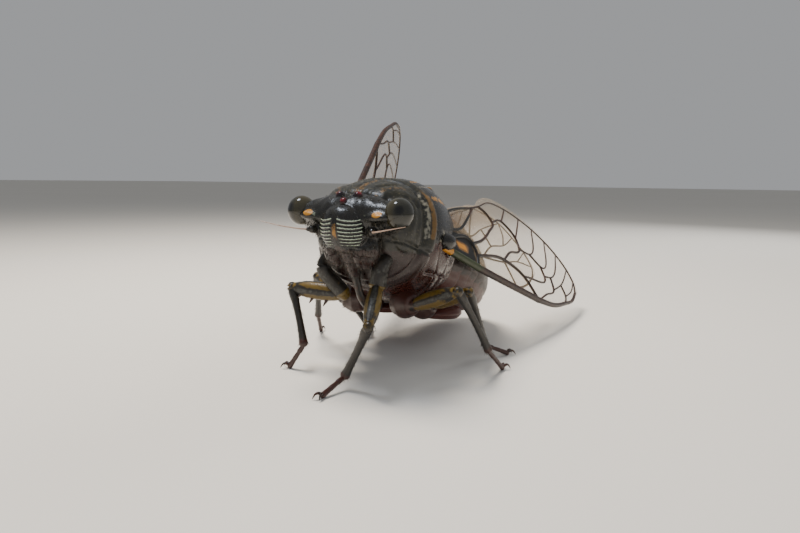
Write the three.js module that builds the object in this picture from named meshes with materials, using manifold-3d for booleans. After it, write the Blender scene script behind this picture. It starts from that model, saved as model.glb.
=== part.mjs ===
// A life-size cicada, standing on its six feet with the left wings half folded and the right wings raised.
//
// Millimetres. The insect is modelled in its own body frame: +X to its left, +Y to its tail, +Z to its back,
// with the origin in the middle of the mesothorax, level with the roots of the forewings.
// The finished group is tipped head-up, lifted onto its feet and centred, so that the floor is Z = 0.
import * as THREE from "three";
import { mergeVertices } from "three/addons/utils/BufferGeometryUtils.js";
import Module from "manifold-3d";

const wasm = await Module();
wasm.setup();

// Stance
const PITCH = THREE.MathUtils.degToRad(11); // the head is carried this much above level
const BODY_HEIGHT = 12.6; // body origin above the floor
const GAP = 0.3; // between parts that touch

// Driving sizes
const HEAD_WIDTH = 13.4; // across the eyes
const EYE_RADIUS = 1.36;
const MEMBRANE = 0.5; // wing thickness between the veins
const WING_CAMBER = 0.005; // per millimetre, across the wing
const WING_DROOP = 0.0016; // per millimetre, along it, from this far out
const WING_DROOP_FROM = 15;

const V = (x, y, z) => new THREE.Vector3(x, y, z);

// Turning geometries into manifold solids and back

function toSolid(geometry) {
  const bare = new THREE.BufferGeometry();
  const source = geometry.index ? geometry.toNonIndexed() : geometry;
  bare.setAttribute("position", source.getAttribute("position"));
  const merged = mergeVertices(bare, 1e-4);
  const mesh = new wasm.Mesh({
    numProp: 3,
    vertProperties: new Float32Array(merged.attributes.position.array),
    triVerts: new Uint32Array(merged.index.array),
  });
  return new wasm.Manifold(mesh);
}

function toGeometry(solid) {
  const mesh = solid.getMesh();
  const geometry = new THREE.BufferGeometry();
  geometry.setAttribute("position", new THREE.BufferAttribute(new Float32Array(mesh.vertProperties), 3));
  geometry.setIndex(new THREE.BufferAttribute(new Uint32Array(mesh.triVerts), 1));
  return geometry;
}

// Joining and cutting
const fuse = (...solids) => solids.reduce((all, next) => all.add(next));
const carve = (solid, ...cutters) => cutters.reduce((left, cutter) => left.subtract(cutter), solid);
const largest = (solid) => solid.decompose().sort((a, b) => b.volume() - a.volume())[0];

// A closed mesh from rings of points, one after another, with a fan on each end.
function loft(rings) {
  const sides = rings[0].length;
  const middle = (ring) => ring.reduce((sum, p) => sum.add(p), V(0, 0, 0)).divideScalar(sides);
  const points = [...rings.flat(), middle(rings[0]), middle(rings.at(-1))];
  const first = rings.length * sides;
  const index = [];
  for (let j = 0; j < sides; j++) {
    const k = (j + 1) % sides;
    for (let i = 0; i + 1 < rings.length; i++) {
      const a = i * sides;
      const b = a + sides;
      index.push(a + j, a + k, b + k, a + j, b + k, b + j);
    }
    const last = (rings.length - 1) * sides;
    index.push(first, k, j, first + 1, last + j, last + k);
  }
  return solidFrom(points, index);
}

function solidFrom(points, index) {
  const turned = signedVolume(points, index) < 0;
  const order = turned ? index.map((_, i) => index[3 * Math.floor(i / 3) + (2 - (i % 3))]) : index;
  const geometry = new THREE.BufferGeometry();
  const numbers = points.flatMap((p) => [p.x, p.y, p.z]);
  geometry.setAttribute("position", new THREE.Float32BufferAttribute(numbers, 3));
  geometry.setIndex(order);
  return toSolid(geometry);
}

function signedVolume(points, index) {
  let sum = 0;
  for (let i = 0; i < index.length; i += 3) {
    const [a, b, c] = [points[index[i]], points[index[i + 1]], points[index[i + 2]]];
    sum += a.dot(V(0, 0, 0).crossVectors(b, c));
  }
  return sum / 6;
}

// A smooth curve through rows of [position, value, value, ...], read at any position.
function through(rows) {
  const slope = (i, c) => {
    const [a, b] = [rows[Math.max(i - 1, 0)], rows[Math.min(i + 1, rows.length - 1)]];
    return (b[c] - a[c]) / (b[0] - a[0]);
  };
  return (at) => {
    let i = rows.findIndex((row) => row[0] > at) - 1;
    if (i === -2) i = rows.length - 2;
    i = Math.max(i, 0);
    const width = rows[i + 1][0] - rows[i][0];
    const t = Math.min(Math.max((at - rows[i][0]) / width, 0), 1);
    const rise = t * t * (3 - 2 * t);
    return rows[i].slice(1).map((value, k) => {
      const c = k + 1;
      const leave = slope(i, c) * width * t * (1 - t) * (1 - t);
      const arrive = -slope(i + 1, c) * width * t * t * (1 - t);
      return value * (1 - rise) + rows[i + 1][c] * rise + leave + arrive;
    });
  };
}

// One cross-section of the body: a rounded box from half width, top and bottom, square or round by its power.
function section(y, [halfWidth, top, bottom], sides, extra = 0, power = 0.85, lean = 0) {
  const middle = (top + bottom) / 2;
  const height = (top - bottom) / 2;
  return Array.from({ length: sides }, (_, i) => {
    const angle = (i / sides) * 2 * Math.PI;
    const x = Math.sign(Math.cos(angle)) * Math.abs(Math.cos(angle)) ** power;
    const z = Math.sign(Math.sin(angle)) * Math.abs(Math.sin(angle)) ** power;
    return V((halfWidth + extra) * x, y + lean * height * z, middle + (height + extra) * z);
  });
}

// A length of the body between two places, lofted from its profile. extra swells it, to cut its neighbours.
function trunk({ rows, steps, sides, power, lean }, extra = 0) {
  const profile = through(rows);
  const start = rows[0][0];
  const end = rows.at(-1)[0];
  const rings = [];
  for (let i = 0; i <= steps; i++) {
    const share = (1 - Math.cos((i / steps) * Math.PI)) / 2;
    const y = start + (end - start) * share;
    const swollen = y + extra * (2 * share - 1);
    rings.push(section(swollen, profile(y), sides, extra, power, lean));
  }
  return loft(rings);
}

// An ellipsoid, turned about X by tilt and about Z by turn, both in degrees.
function ellipsoid(centre, half, { tilt = 0, turn = 0, wide = 20, high = 12, extra = 0 } = {}) {
  const shape = new THREE.SphereGeometry(1, wide, high);
  shape.scale(half.x + extra, half.y + extra, half.z + extra);
  shape.rotateX(THREE.MathUtils.degToRad(tilt));
  shape.rotateZ(THREE.MathUtils.degToRad(turn));
  shape.translate(centre.x, centre.y, centre.z);
  return toSolid(shape);
}

// Rings that close a tube: how far out, and how wide, in radii
const ROUND_END = [[0.8, 0.5]];
const BLUNT_END = [];

// A round or oval tube through points with a radius at each. flat squeezes it across.
function tube(points, radii, { sides = 8, flat = 1, extra = 0, up = V(0, 0, 1), ends = ROUND_END } = {}) {
  const rings = [];
  const place = (centre, along, radius) => {
    const across = V(0, 0, 0).crossVectors(along, up).normalize();
    const over = V(0, 0, 0).crossVectors(across, along).normalize();
    const ring = Array.from({ length: sides }, (_, i) => {
      const angle = ((i + 0.5) / sides) * 2 * Math.PI;
      return centre
        .clone()
        .addScaledVector(across, Math.cos(angle) * radius * flat)
        .addScaledVector(over, Math.sin(angle) * radius);
    });
    rings.push(ring);
  };
  const last = points.length - 1;
  const heading = (i) => points[Math.min(i + 1, last)].clone().sub(points[Math.max(i - 1, 0)]).normalize();
  for (const [out, narrow] of ends) {
    const r = radii[0] + extra;
    place(points[0].clone().addScaledVector(heading(0), -out * r), heading(0), r * narrow);
  }
  points.forEach((p, i) => place(p, heading(i), radii[i] + extra));
  for (const [out, narrow] of [...ends].reverse()) {
    const r = radii[last] + extra;
    place(points[last].clone().addScaledVector(heading(last), out * r), heading(last), r * narrow);
  }
  return loft(rings);
}

const between = (a, b, share) => a.clone().lerp(b, share);

// The floor, seen from the body frame

const tip = new THREE.Matrix4().makeRotationX(-PITCH).setPosition(0, 0, BODY_HEIGHT);
const untip = tip.clone().invert();
const fromFloor = (x, y, z) => V(x, y, z).applyMatrix4(untip);

function belowFloor() {
  const slab = new THREE.BoxGeometry(160, 160, 10);
  slab.translate(0, 0, -5);
  slab.applyMatrix4(untip);
  return toSolid(slab);
}

// Trunk: rows are place along the body, half width, top, bottom

const PRONOTUM = {
  rows: [
    [-8.2, 3.4, 4.6, 1.6],
    [-7.3, 4.6, 5.3, 0.2],
    [-6.4, 5.5, 5.75, -1.6],
    [-5.2, 5.9, 6.2, -3.2],
    [-4.4, 6.1, 6.5, -4.2],
    [-3.4, 6.75, 6.9, -4.7],
    [-2.6, 6.8, 7.0, -4.9],
  ],
  steps: 9,
  sides: 26,
  power: 0.88,
  lean: 0.12,
};

const MESOTHORAX = {
  rows: [
    [-2.3, 6.0, 6.8, -5.0],
    [-0.6, 6.35, 7.4, -5.6],
    [1.8, 6.3, 7.45, -6.0],
    [4.6, 5.9, 6.8, -5.8],
    [7.4, 5.4, 5.3, -5.0],
  ],
  steps: 8,
  sides: 26,
  power: 0.9,
  lean: 0.12,
};

const ABDOMEN_START = 7.0;
const ABDOMEN_LENGTH = 18;
const ABDOMEN_BEND = 1.2; // its tip is carried this far to its left
const ABDOMEN_SEGMENTS = 8;
const ABDOMEN_SHAPE = through([
  [0.0, 5.2, 4.6, -5.2],
  [0.12, 5.9, 5.2, -5.9],
  [0.35, 6.0, 4.6, -6.5],
  [0.6, 5.4, 2.8, -6.9],
  [0.82, 4.0, 0.2, -6.8],
  [0.95, 2.2, -2.6, -6.2],
  [1.0, 1.0, -3.9, -5.5],
]);

function pronotum(extra) {
  return trunk(PRONOTUM, extra);
}

function mesothorax(extra) {
  return trunk(MESOTHORAX, extra);
}

// The raised cross on the back, between the roots of the wings.
function cross(extra = 0) {
  const arm = (side) => {
    const points = [V(side * 2.7, 3.9, 6.6), V(0, 5.9, 6.4), V(-side * 2.4, 7.4, 4.9)];
    return tube(points, [0.5, 0.6, 0.45], { sides: 6, extra });
  };
  return fuse(arm(1), arm(-1));
}

// Each segment swells to its hind edge and steps down to the next.
function abdomen(extra = 0) {
  const STEP = 0.28;
  const rings = [];
  for (let i = 0; i < ABDOMEN_SEGMENTS; i++) {
    for (const [share, lift] of [[0.04, -STEP], [0.5, -STEP * 0.35], [0.94, 0]]) {
      const s = (i + share) / ABDOMEN_SEGMENTS;
      const grown = extra + lift * (1 - 0.5 * s);
      const ring = section(ABDOMEN_START + ABDOMEN_LENGTH * s, ABDOMEN_SHAPE(s), 22, grown, 0.95, 0.08);
      rings.push(ring.map((p) => p.add(V(ABDOMEN_BEND * s * s, 0, 0))));
    }
  }
  return loft(rings);
}

// Head: a wide bar between the eyes, the swollen face plate, the cheeks and the foot of the face with the beak

const EYE_AT = V(HEAD_WIDTH / 2 - EYE_RADIUS, -8.95, 2.28);
const FACE_TILT = 34; // degrees, its foot set back
const FACE_AT = V(0, -9.35, 0.55);
const FACE_HALF = V(2.4, 1.95, 2.5);

function head(extra = 0) {
  const vertex = ellipsoid(V(0, -8.0, 2.0), V(5.5, 2.45, 2.2), { wide: 22, high: 12, extra });
  const face = ellipsoid(FACE_AT, FACE_HALF, { tilt: FACE_TILT, wide: 22, high: 12, extra });
  const chin = ellipsoid(V(0, -7.54, -1.53), V(1.4, 1.25, 2.4), { tilt: 52, wide: 18, high: 12, extra });
  const lip = ellipsoid(V(0, -6.95, -3.15), V(0.62, 0.6, 1.1), { tilt: 50, wide: 12, high: 8, extra });
  const cheek = (side) => {
    const back = { tilt: 10, wide: 14, high: 8, extra };
    const front = { tilt: 35, turn: side * 10, wide: 12, high: 8, extra };
    return fuse(
      ellipsoid(V(side * 1.6, -7.7, -0.9), V(1.4, 1.5, 2.1), back),
      ellipsoid(V(side * 1.35, -8.3, -1.5), V(0.8, 1.1, 1.6), front),
    );
  };
  const stalk = (side) => ellipsoid(V(side * 4.1, -8.6, 2.15), V(1.6, 1.35, 1.15), { wide: 14, high: 8, extra });
  return fuse(vertex, face, chin, lip, cheek(1), cheek(-1), stalk(1), stalk(-1));
}

// Low ribs cross the swollen face, a row on each side of its bare middle line.
function faceRibs() {
  const RIBS = 8;
  const FIRST = 1.55; // up from the middle of the face plate
  const STEP = 0.4;
  const HALF_WIDTH = 0.15;
  const turned = new THREE.Matrix4().makeRotationX(THREE.MathUtils.degToRad(FACE_TILT));
  const ribs = [];
  for (let i = 0; i < RIBS; i++) {
    const height = FIRST - i * STEP;
    const round = Math.sqrt(1 - (height / FACE_HALF.z) ** 2);
    for (const side of [1, -1]) {
      const points = [12, 30, 50, 68].map((degrees) => {
        const angle = THREE.MathUtils.degToRad(degrees);
        const x = side * Math.sin(angle) * FACE_HALF.x * round;
        const y = -Math.cos(angle) * FACE_HALF.y * round;
        return V(x, y, height + degrees * 0.004).applyMatrix4(turned).add(FACE_AT);
      });
      ribs.push(tube(points, [HALF_WIDTH, HALF_WIDTH, HALF_WIDTH, 0.1], { sides: 4, ends: BLUNT_END }));
    }
  }
  return ribs;
}

function ocelli() {
  const RADIUS = 0.4;
  const places = [V(0, -10.06, 3.2), V(0.95, -9.28, 3.93), V(-0.95, -9.28, 3.93)];
  return places.map((p) => ellipsoid(p, V(RADIUS, RADIUS, RADIUS), { wide: 12, high: 6 }));
}

function eye(side, extra = 0) {
  const centre = V(side * EYE_AT.x, EYE_AT.y, EYE_AT.z);
  const half = V(EYE_RADIUS, EYE_RADIUS * 1.06, EYE_RADIUS * 1.08);
  return ellipsoid(centre, half, { wide: 18, high: 10, extra });
}

// Beak: runs down and back from the lower face, between the forelegs.
function beak(extra = 0) {
  const points = [V(0, -6.6, -3.5), V(0, -5.75, -4.7), V(0, -4.7, -5.9), V(0, -3.2, -6.7), V(0, -1.0, -7.1)];
  return tube(points, [0.46, 0.42, 0.4, 0.36, 0.26], { sides: 8, extra });
}

// Feeler: a stout base under the brow and a bristle that tapers to its tip.
function feeler(side) {
  const base = V(side * 3.3, -10.0, 0.35);
  const points = [base, V(side * 4.1, -11.1, 0.25), V(side * 5.6, -12.1, 0.35), V(side * 7.8, -12.6, 0.7)];
  const root = tube([V(side * 2.9, -9.2, 0.45), base], [0.5, 0.42], { sides: 8 });
  return fuse(root, tube(points, [0.3, 0.25, 0.22, 0.09], { sides: 6 }));
}

// Cover plate of the sound chamber, under the base of the abdomen
function operculum(side) {
  const lie = { tilt: 6, turn: side * 14, wide: 14, high: 8 };
  return ellipsoid(V(side * 3.2, 8.0, -6.7), V(3.0, 3.7, 0.9), lie);
}

// Legs: the coxa's places are in the body frame, with its radii, and the joints beyond it are given from the floor

const LEGS = {
  fore_left: {
    coxa: [V(3.0, -5.4, -1.3), V(2.9, -6.7, -2.6)],
    coxaRadii: [0.7, 0.78, 0.82],
    joints: [[2.6, -7.45, 9.35], [4.2, -12.1, 6.6], [1.1, -11.0, 1.25], [0.6, -14.0, 0.3]],
    thick: [0.92, 0.45, 0.3],
  },
  fore_right: {
    coxa: [V(-3.3, -5.5, -1.3), V(-3.7, -6.5, -3.2)],
    coxaRadii: [0.7, 0.72, 0.78],
    joints: [[-2.2, -5.55, 7.95], [-8.2, -6.2, 8.25], [-5.6, -7.9, 2.7], [-7.2, -8.1, 0.3]],
    thick: [0.92, 0.45, 0.3],
  },
  mid_left: {
    coxa: [V(2.3, -0.4, -5.8), V(3.3, -0.8, -5.95)],
    coxaRadii: [1.5, 1.6, 1.1],
    joints: [[4.3, -2.6, 6.9], [9.8, -4.4, 9.1], [11.9, -0.6, 2.5], [12.7, 1.7, 0.3]],
    thick: [0.85, 0.42, 0.28],
  },
  mid_right: {
    coxa: [V(-2.3, -0.4, -5.8), V(-3.3, -0.6, -5.9)],
    coxaRadii: [1.5, 1.6, 1.1],
    joints: [[-4.3, -2.2, 6.9], [-9.4, 0.4, 8.4], [-12.0, 4.6, 2.6], [-12.9, 6.6, 0.3]],
    thick: [0.85, 0.42, 0.28],
  },
  hind_left: {
    coxa: [V(2.5, 3.4, -5.9), V(3.6, 3.4, -6.1)],
    coxaRadii: [1.45, 1.5, 1.05],
    joints: [[4.6, 2.0, 6.2], [9.5, -0.2, 8.4], [9.7, 5.2, 1.5], [11.6, 7.4, 0.3]],
    thick: [0.8, 0.42, 0.28],
  },
  hind_right: {
    coxa: [V(-2.5, 3.4, -5.9), V(-3.6, 3.5, -6.1)],
    coxaRadii: [1.45, 1.5, 1.05],
    joints: [[-4.6, 2.4, 6.2], [-9.0, 2.4, 7.9], [-6.3, 7.2, 1.6], [-7.2, 9.8, 0.3]],
    thick: [0.8, 0.42, 0.28],
  },
};

function coxa(leg, extra = 0) {
  const hip = fromFloor(...leg.joints[0]);
  const [root, middle] = leg.coxa;
  return tube([root, middle, between(middle, hip, 0.86)], leg.coxaRadii, { sides: 10, extra });
}

function femur(leg, extra = 0) {
  const [hip, knee] = leg.joints.slice(0, 2).map((p) => fromFloor(...p));
  const r = leg.thick[0];
  const points = [0.1, 0.3, 0.65, 0.94].map((share) => between(hip, knee, share));
  return tube(points, [r * 0.66, r, r * 0.95, r * 0.6], { sides: 10, flat: 0.85, extra });
}

// The fore femur has three teeth under it.
function teeth(leg) {
  const [hip, knee, ankle] = leg.joints.slice(0, 3).map((p) => fromFloor(...p));
  const along = knee.clone().sub(hip).normalize();
  const under = ankle.clone().sub(knee);
  under.addScaledVector(along, -under.dot(along)).normalize();
  return [0.28, 0.55, 0.8].map((share, i) => {
    const r = leg.thick[0] * (share > 0.7 ? 0.75 : 0.95);
    const start = between(hip, knee, share).addScaledVector(under, r * 0.35);
    const end = start.clone().addScaledVector(under, r * 0.55 + 0.75 - 0.12 * i).addScaledVector(along, 0.35);
    return tube([start, end], [0.34, 0.1], { sides: 6, up: along });
  });
}

function tibia(leg, extra = 0) {
  const [knee, ankle] = leg.joints.slice(1, 3).map((p) => fromFloor(...p));
  const r = leg.thick[1];
  const bow = knee.clone().sub(ankle).cross(V(1, 0, 0)).normalize().multiplyScalar(0.18);
  const points = [0.06, 0.2, 0.6, 0.95].map((share) =>
    between(knee, ankle, share).addScaledVector(bow, 4 * share * (1 - share)),
  );
  return tube(points, [r * 1.15, r * 0.92, r * 0.85, r * 1.05], { sides: 8, extra });
}

const CLAW_SPREAD = 0.42; // radians, to each side of the foot

// Foot: three joints, a flat pad on the floor and a pair of hooked claws
function tarsus(leg) {
  const [ankle, toe] = leg.joints.slice(2, 4).map((p) => fromFloor(...p));
  const r = leg.thick[2];
  const points = [0.1, 0.3, 0.38, 0.62, 0.7, 0.96].map((share) => between(ankle, toe, share));
  const shank = tube(points, [r, r * 1.1, r * 0.95, r * 1.1, r * 0.95, r * 1.15], { sides: 8 });
  const [x, y] = leg.joints[3];
  const pad = ellipsoid(V(0, 0, 0), V(0.5, 0.5, 0.42), { wide: 12, high: 8 });
  const padAt = fromFloor(x, y, 0.22);
  const ahead = Math.atan2(leg.joints[3][0] - leg.joints[2][0], leg.joints[2][1] - leg.joints[3][1]);
  const claws = [-CLAW_SPREAD, CLAW_SPREAD].map((spread) => {
    const heading = ahead + spread;
    const reach = (out, z) => fromFloor(x + out * Math.sin(heading), y - out * Math.cos(heading), z);
    return tube([reach(0.1, 0.36), reach(0.65, 0.5), reach(1.0, 0.24)], [0.26, 0.22, 0.08], { sides: 6 });
  });
  return carve(fuse(shank, pad.translate([padAt.x, padAt.y, padAt.z]), ...claws), belowFloor());
}

// Wings: a wing is a net of veins. Places are millimetres along from the root and across to the leading edge.
// A vein is a row of places, where a name stands for a junction. Each mesh of the net is a cell of membrane.

const FORE = {
  camberAt: -6,
  junctions: {
    hinge: [0.0, 0.3],
    basal: [6.4, 0.7],
    node: [20.4, 0.9],
    stigma: [29.6, -1.3],
    tip: [36.6, -5.3],
    rim7: [37.9, -7.6],
    rim6: [37.3, -9.8],
    rim5: [35.0, -11.8],
    rim4: [32.0, -13.1],
    rim3: [28.4, -13.9],
    rim2: [24.4, -14.1],
    rim1: [20.2, -13.9],
    fold: [15.6, -12.9],
    corner: [11.5, -10.3],
    claval: [9.6, -9.2],
    heel: [0.2, -3.4],
    anal: [0.1, -2.2],
    stem: [0.1, -0.9],
    media: [6.9, -1.1],
    cubitus: [6.4, -2.5],
    fork: [13.6, -2.8],
    bend: [13.9, -8.8],
    step: [17.1, -10.3],
    low: [19.7, -8.5],
    high: [19.5, -6.6],
    radial: [17.9, -1.8],
    ulnar1: [22.4, -6.9],
    ulnar2: [24.9, -5.8],
    ulnar3: [25.1, -4.2],
    apical1: [27.4, -4.8],
    apical2: [26.9, -2.6],
    apical3: [30.8, -4.7],
    apical4: [31.1, -2.9],
  },
  // Half width of the vein, height of the vein, and membrane beyond it, along the edge of the net
  edge: [
    [0.5, 1.3, 0.02, ["hinge", "basal", [13.0, 0.85], "node"]],
    [0.42, 1.15, 0.02, ["node", [25.0, 0.3], "stigma", [33.4, -2.9], "tip"]],
    [0.26, 0.85, 0.85, ["tip", "rim7", "rim6", "rim5", "rim4", "rim3", "rim2", "rim1", "fold", "corner"]],
    [0.32, 0.95, 0.3, ["corner", "claval", [6.3, -7.6], [3.0, -5.7], "heel", "anal", "stem", "hinge"]],
  ],
  veins: [
    [0.36, 1.05, ["stem", "cubitus", "media", "basal"]],
    [0.32, 1.0, ["media", "fork", "radial", "node"]],
    [0.32, 0.95, ["cubitus", [9.0, -3.9], [12.0, -6.5], "bend", [13.1, -9.9], "corner"]],
    [0.32, 0.95, ["anal", [4.5, -3.8], [7.2, -6.4], "claval"]],
    [0.28, 0.9, ["fork", [15.9, -4.7], "high", "low", "step", "bend"]],
    [0.28, 0.85, ["step", "rim1"]],
    [0.28, 0.85, ["low", "rim2"]],
    [0.28, 0.85, ["high", "ulnar1", "rim3"]],
    [0.28, 0.85, ["ulnar1", "ulnar2", "rim4"]],
    [0.28, 0.85, ["ulnar2", "ulnar3", "radial"]],
    [0.28, 0.85, ["ulnar3", "apical1", "rim5"]],
    [0.28, 0.85, ["apical1", "apical2", [23.6, -0.9], "node"]],
    [0.28, 0.85, ["apical2", "apical3", "rim6"]],
    [0.28, 0.85, ["apical3", "apical4", "stigma"]],
    [0.28, 0.85, ["apical4", [34.7, -4.9], "rim7"]],
  ],
};

const HIND = {
  camberAt: -4,
  junctions: {
    hinge: [0.0, 0.4],
    node: [14.5, 0.3],
    tip: [20.6, -3.8],
    rim6: [21.3, -5.6],
    rim5: [20.3, -7.7],
    rim4: [18.2, -9.4],
    rim3: [15.4, -10.7],
    rim2: [12.0, -10.6],
    rim1: [8.8, -9.9],
    lobe: [5.8, -8.0],
    heel: [0.2, -2.7],
    anal: [0.1, -1.8],
    stem: [0.1, -0.7],
    fork: [7.5, -1.6],
    radial: [13.0, -3.0],
    apical: [17.0, -4.7],
    media: [10.5, -4.4],
    ulnar: [14.2, -6.2],
    cubitus: [5.5, -3.8],
    bend: [9.2, -6.6],
    jugal: [2.4, -3.2],
  },
  edge: [
    [0.36, 0.95, 0.02, ["hinge", [5.0, 0.8], [10.5, 0.9], "node", [18.0, -1.5], "tip"]],
    [0.25, 0.85, 0.6, ["tip", "rim6", "rim5", "rim4", "rim3", "rim2", "rim1", "lobe"]],
    [0.25, 0.8, 0.25, ["lobe", [3.0, -6.0], [1.0, -4.1], "heel", "anal", "stem", "hinge"]],
  ],
  veins: [
    [0.28, 0.85, ["stem", "fork", "radial", "apical", "rim6"]],
    [0.26, 0.85, ["radial", "node"]],
    [0.26, 0.85, ["fork", "media", "ulnar", "rim4"]],
    [0.26, 0.85, ["apical", "rim5"]],
    [0.26, 0.85, ["anal", "jugal", "cubitus", "bend", "rim3"]],
    [0.26, 0.85, ["media", "bend"]],
    [0.26, 0.85, ["ulnar", [15.2, -8.4], "rim3"]],
    [0.26, 0.85, ["cubitus", [7.0, -7.0], "rim1"]],
    [0.26, 0.8, ["jugal", [4.2, -5.6], "lobe"]],
  ],
};

// The net as points with their vein sizes, and the ways that lead on from each point.
function veinNet({ junctions, edge, veins }) {
  const points = [];
  const seen = new Map();
  const index = (place, size) => {
    const [x, y] = typeof place === "string" ? junctions[place] : place;
    const key = x + "," + y;
    if (!seen.has(key)) {
      seen.set(key, points.length);
      points.push({ x, y, half: size[0], height: size[1], rim: size[2] ?? 0, ways: [] });
    }
    return seen.get(key);
  };
  const rows = [...edge, ...veins];
  for (const row of rows) {
    const chain = row.at(-1).map((place) => index(place, row.slice(0, -1)));
    for (let i = 0; i + 1 < chain.length; i++) {
      points[chain[i]].ways.push(chain[i + 1]);
      points[chain[i + 1]].ways.push(chain[i]);
    }
  }
  for (const p of points) {
    const heading = (to) => Math.atan2(points[to].y - p.y, points[to].x - p.x);
    p.ways.sort((a, b) => heading(a) - heading(b));
  }
  return points;
}

// Every cell of the net as a loop with its inside on the left. The last, widest one is the outside.
function cellsOf(points) {
  const loops = [];
  const walked = new Set();
  const area = (loop) =>
    loop.reduce((sum, a, i) => {
      const b = loop[(i + 1) % loop.length];
      return sum + points[a].x * points[b].y - points[b].x * points[a].y;
    }, 0);
  points.forEach((p, start) => {
    for (const first of p.ways) {
      let [from, to] = [start, first];
      const loop = [];
      while (!walked.has(from + ">" + to)) {
        walked.add(from + ">" + to);
        loop.push(from);
        const { ways } = points[to];
        const next = ways[(ways.indexOf(from) + ways.length - 1) % ways.length];
        [from, to] = [to, next];
      }
      if (loop.length) loops.push(loop);
    }
  });
  return loops.sort((a, b) => area(b) - area(a));
}

// The loop moved to its left by a width at each point, with its corners kept sharp up to a limit.
function moved(points, loop, width) {
  const LONGEST_CORNER = 3.5;
  return loop.map((at, i) => {
    const p = points[at];
    const before = points[loop[(i + loop.length - 1) % loop.length]];
    const after = points[loop[(i + 1) % loop.length]];
    const left = (a, b) => new THREE.Vector2(a.y - b.y, b.x - a.x).normalize();
    const [n, m] = [left(before, p), left(p, after)];
    const share = Math.min(1 / Math.max(1 + n.dot(m), 1e-3), LONGEST_CORNER / n.clone().add(m).length());
    const step = n.add(m).multiplyScalar(share * width(p));
    return new THREE.Vector2(p.x + step.x, p.y + step.y);
  });
}

// The upper face of a wing, with each vein raised along its middle, and a lower face that mirrors it.
function flatWing(plan) {
  const net = veinNet(plan);
  const upper = net.map((p) => V(p.x, p.y, p.height / 2));
  const faces = [];
  let rim = [];
  const loops = cellsOf(net);
  loops.forEach((loop, cell) => {
    const outside = cell === loops.length - 1;
    const inner = moved(net, loop, (p) => (outside ? p.half + p.rim : p.half));
    const first = upper.length;
    upper.push(...inner.map((p) => V(p.x, p.y, MEMBRANE / 2)));
    loop.forEach((a, i) => {
      const k = (i + 1) % loop.length;
      faces.push([a, loop[k], first + k], [a, first + k, first + i]);
    });
    if (outside) rim = inner.map((_, i) => first + i);
    else THREE.ShapeUtils.triangulateShape(inner, []).forEach((f) => faces.push(f.map((i) => first + i)));
  });
  const below = upper.length;
  const points = [...upper, ...upper.map((p) => V(p.x, p.y, -p.z))];
  const walls = rim.flatMap((a, i) => {
    const b = rim[(i + 1) % rim.length];
    return [[a, b, below + b], [a, below + b, below + a]];
  });
  const lower = faces.map(([a, b, c]) => [below + a, below + c, below + b]);
  return { points, index: [...faces, ...lower, ...walls].flat() };
}

// Where a wing stands: its root, and in degrees its sweep from straight back, its rise and its twist.
// swing turns it in its own plane towards its leading edge.
const FOLDED = { side: 1, sweep: 18, rise: -11.5, twist: -57 };
const RAISED = { side: -1, sweep: 14, rise: 43.6, twist: 93 };
const WINGS = {
  forewing_left: { ...FOLDED, plan: FORE, root: V(6.3, 0.5, 0.6), swing: 0 },
  forewing_right: { ...RAISED, plan: FORE, root: V(6.5, 0.5, 0.2), swing: 0 },
  hindwing_left: { ...FOLDED, plan: HIND, root: V(5.4, 4.2, 0.8), swing: 3 },
  hindwing_right: { ...RAISED, plan: HIND, root: V(5.8, 4.3, 0.2), swing: -6 },
};

function wing({ plan, side, root, sweep, rise, twist, swing }) {
  const [a, e, t] = [sweep, rise, twist].map(THREE.MathUtils.degToRad);
  const along = V(Math.sin(a) * Math.cos(e), Math.cos(a) * Math.cos(e), Math.sin(e));
  const level = V(Math.cos(a), -Math.sin(a), 0);
  const upright = V(0, 0, 0).crossVectors(level, along);
  const across = level.multiplyScalar(Math.cos(t)).addScaledVector(upright, Math.sin(t));
  const outward = V(0, 0, 0).crossVectors(across, along);
  const { points, index } = flatWing(plan);
  const pivot = V(0, 0, 1);
  const swung = THREE.MathUtils.degToRad(swing);
  const bent = points.map((p) => {
    p.applyAxisAngle(pivot, swung);
    const camber = -WING_CAMBER * (p.y - plan.camberAt) ** 2;
    const droop = -WING_DROOP * Math.max(p.x - WING_DROOP_FROM, 0) ** 2;
    const q = root.clone().addScaledVector(along, p.x).addScaledVector(across, p.y);
    return q.addScaledVector(outward, p.z + camber + droop);
  });
  bent.forEach((p) => (p.x *= side));
  return solidFrom(bent, index);
}

// The hinge of a wing: a knuckle that carries its leading veins to the thorax
function knuckle({ side, root, plan }) {
  const size = plan === FORE ? 0.95 : 0.75;
  return ellipsoid(V(side * (root.x + 0.1), root.y + 0.6, root.z + 0.2), V(size, size * 1.6, size * 1.1), {
    wide: 14,
    high: 8,
  });
}

// Assembly

const COLOURS = {
  cuticle: { color: 0x2e2a22, roughness: 0.45 },
  collar: { color: 0x5b5238, roughness: 0.5 },
  belly: { color: 0x5a3428, roughness: 0.55 },
  eye: { color: 0x4a4a42, roughness: 0.15 },
  leg: { color: 0x6b5a2c, roughness: 0.4 },
  foot: { color: 0x35261c, roughness: 0.45 },
  wing: { color: 0xbfae97, roughness: 0.25 },
};

const insect = new THREE.Group();
insect.rotation.x = -PITCH;
insect.position.z = BODY_HEIGHT;

function addNode(name, solid, finish) {
  const material = new THREE.MeshStandardMaterial({ metalness: 0, ...COLOURS[finish] });
  const mesh = new THREE.Mesh(toGeometry(largest(solid)), material);
  mesh.name = name;
  insect.add(mesh);
}

const wideThorax = fuse(pronotum(GAP), mesothorax(GAP));

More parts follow.
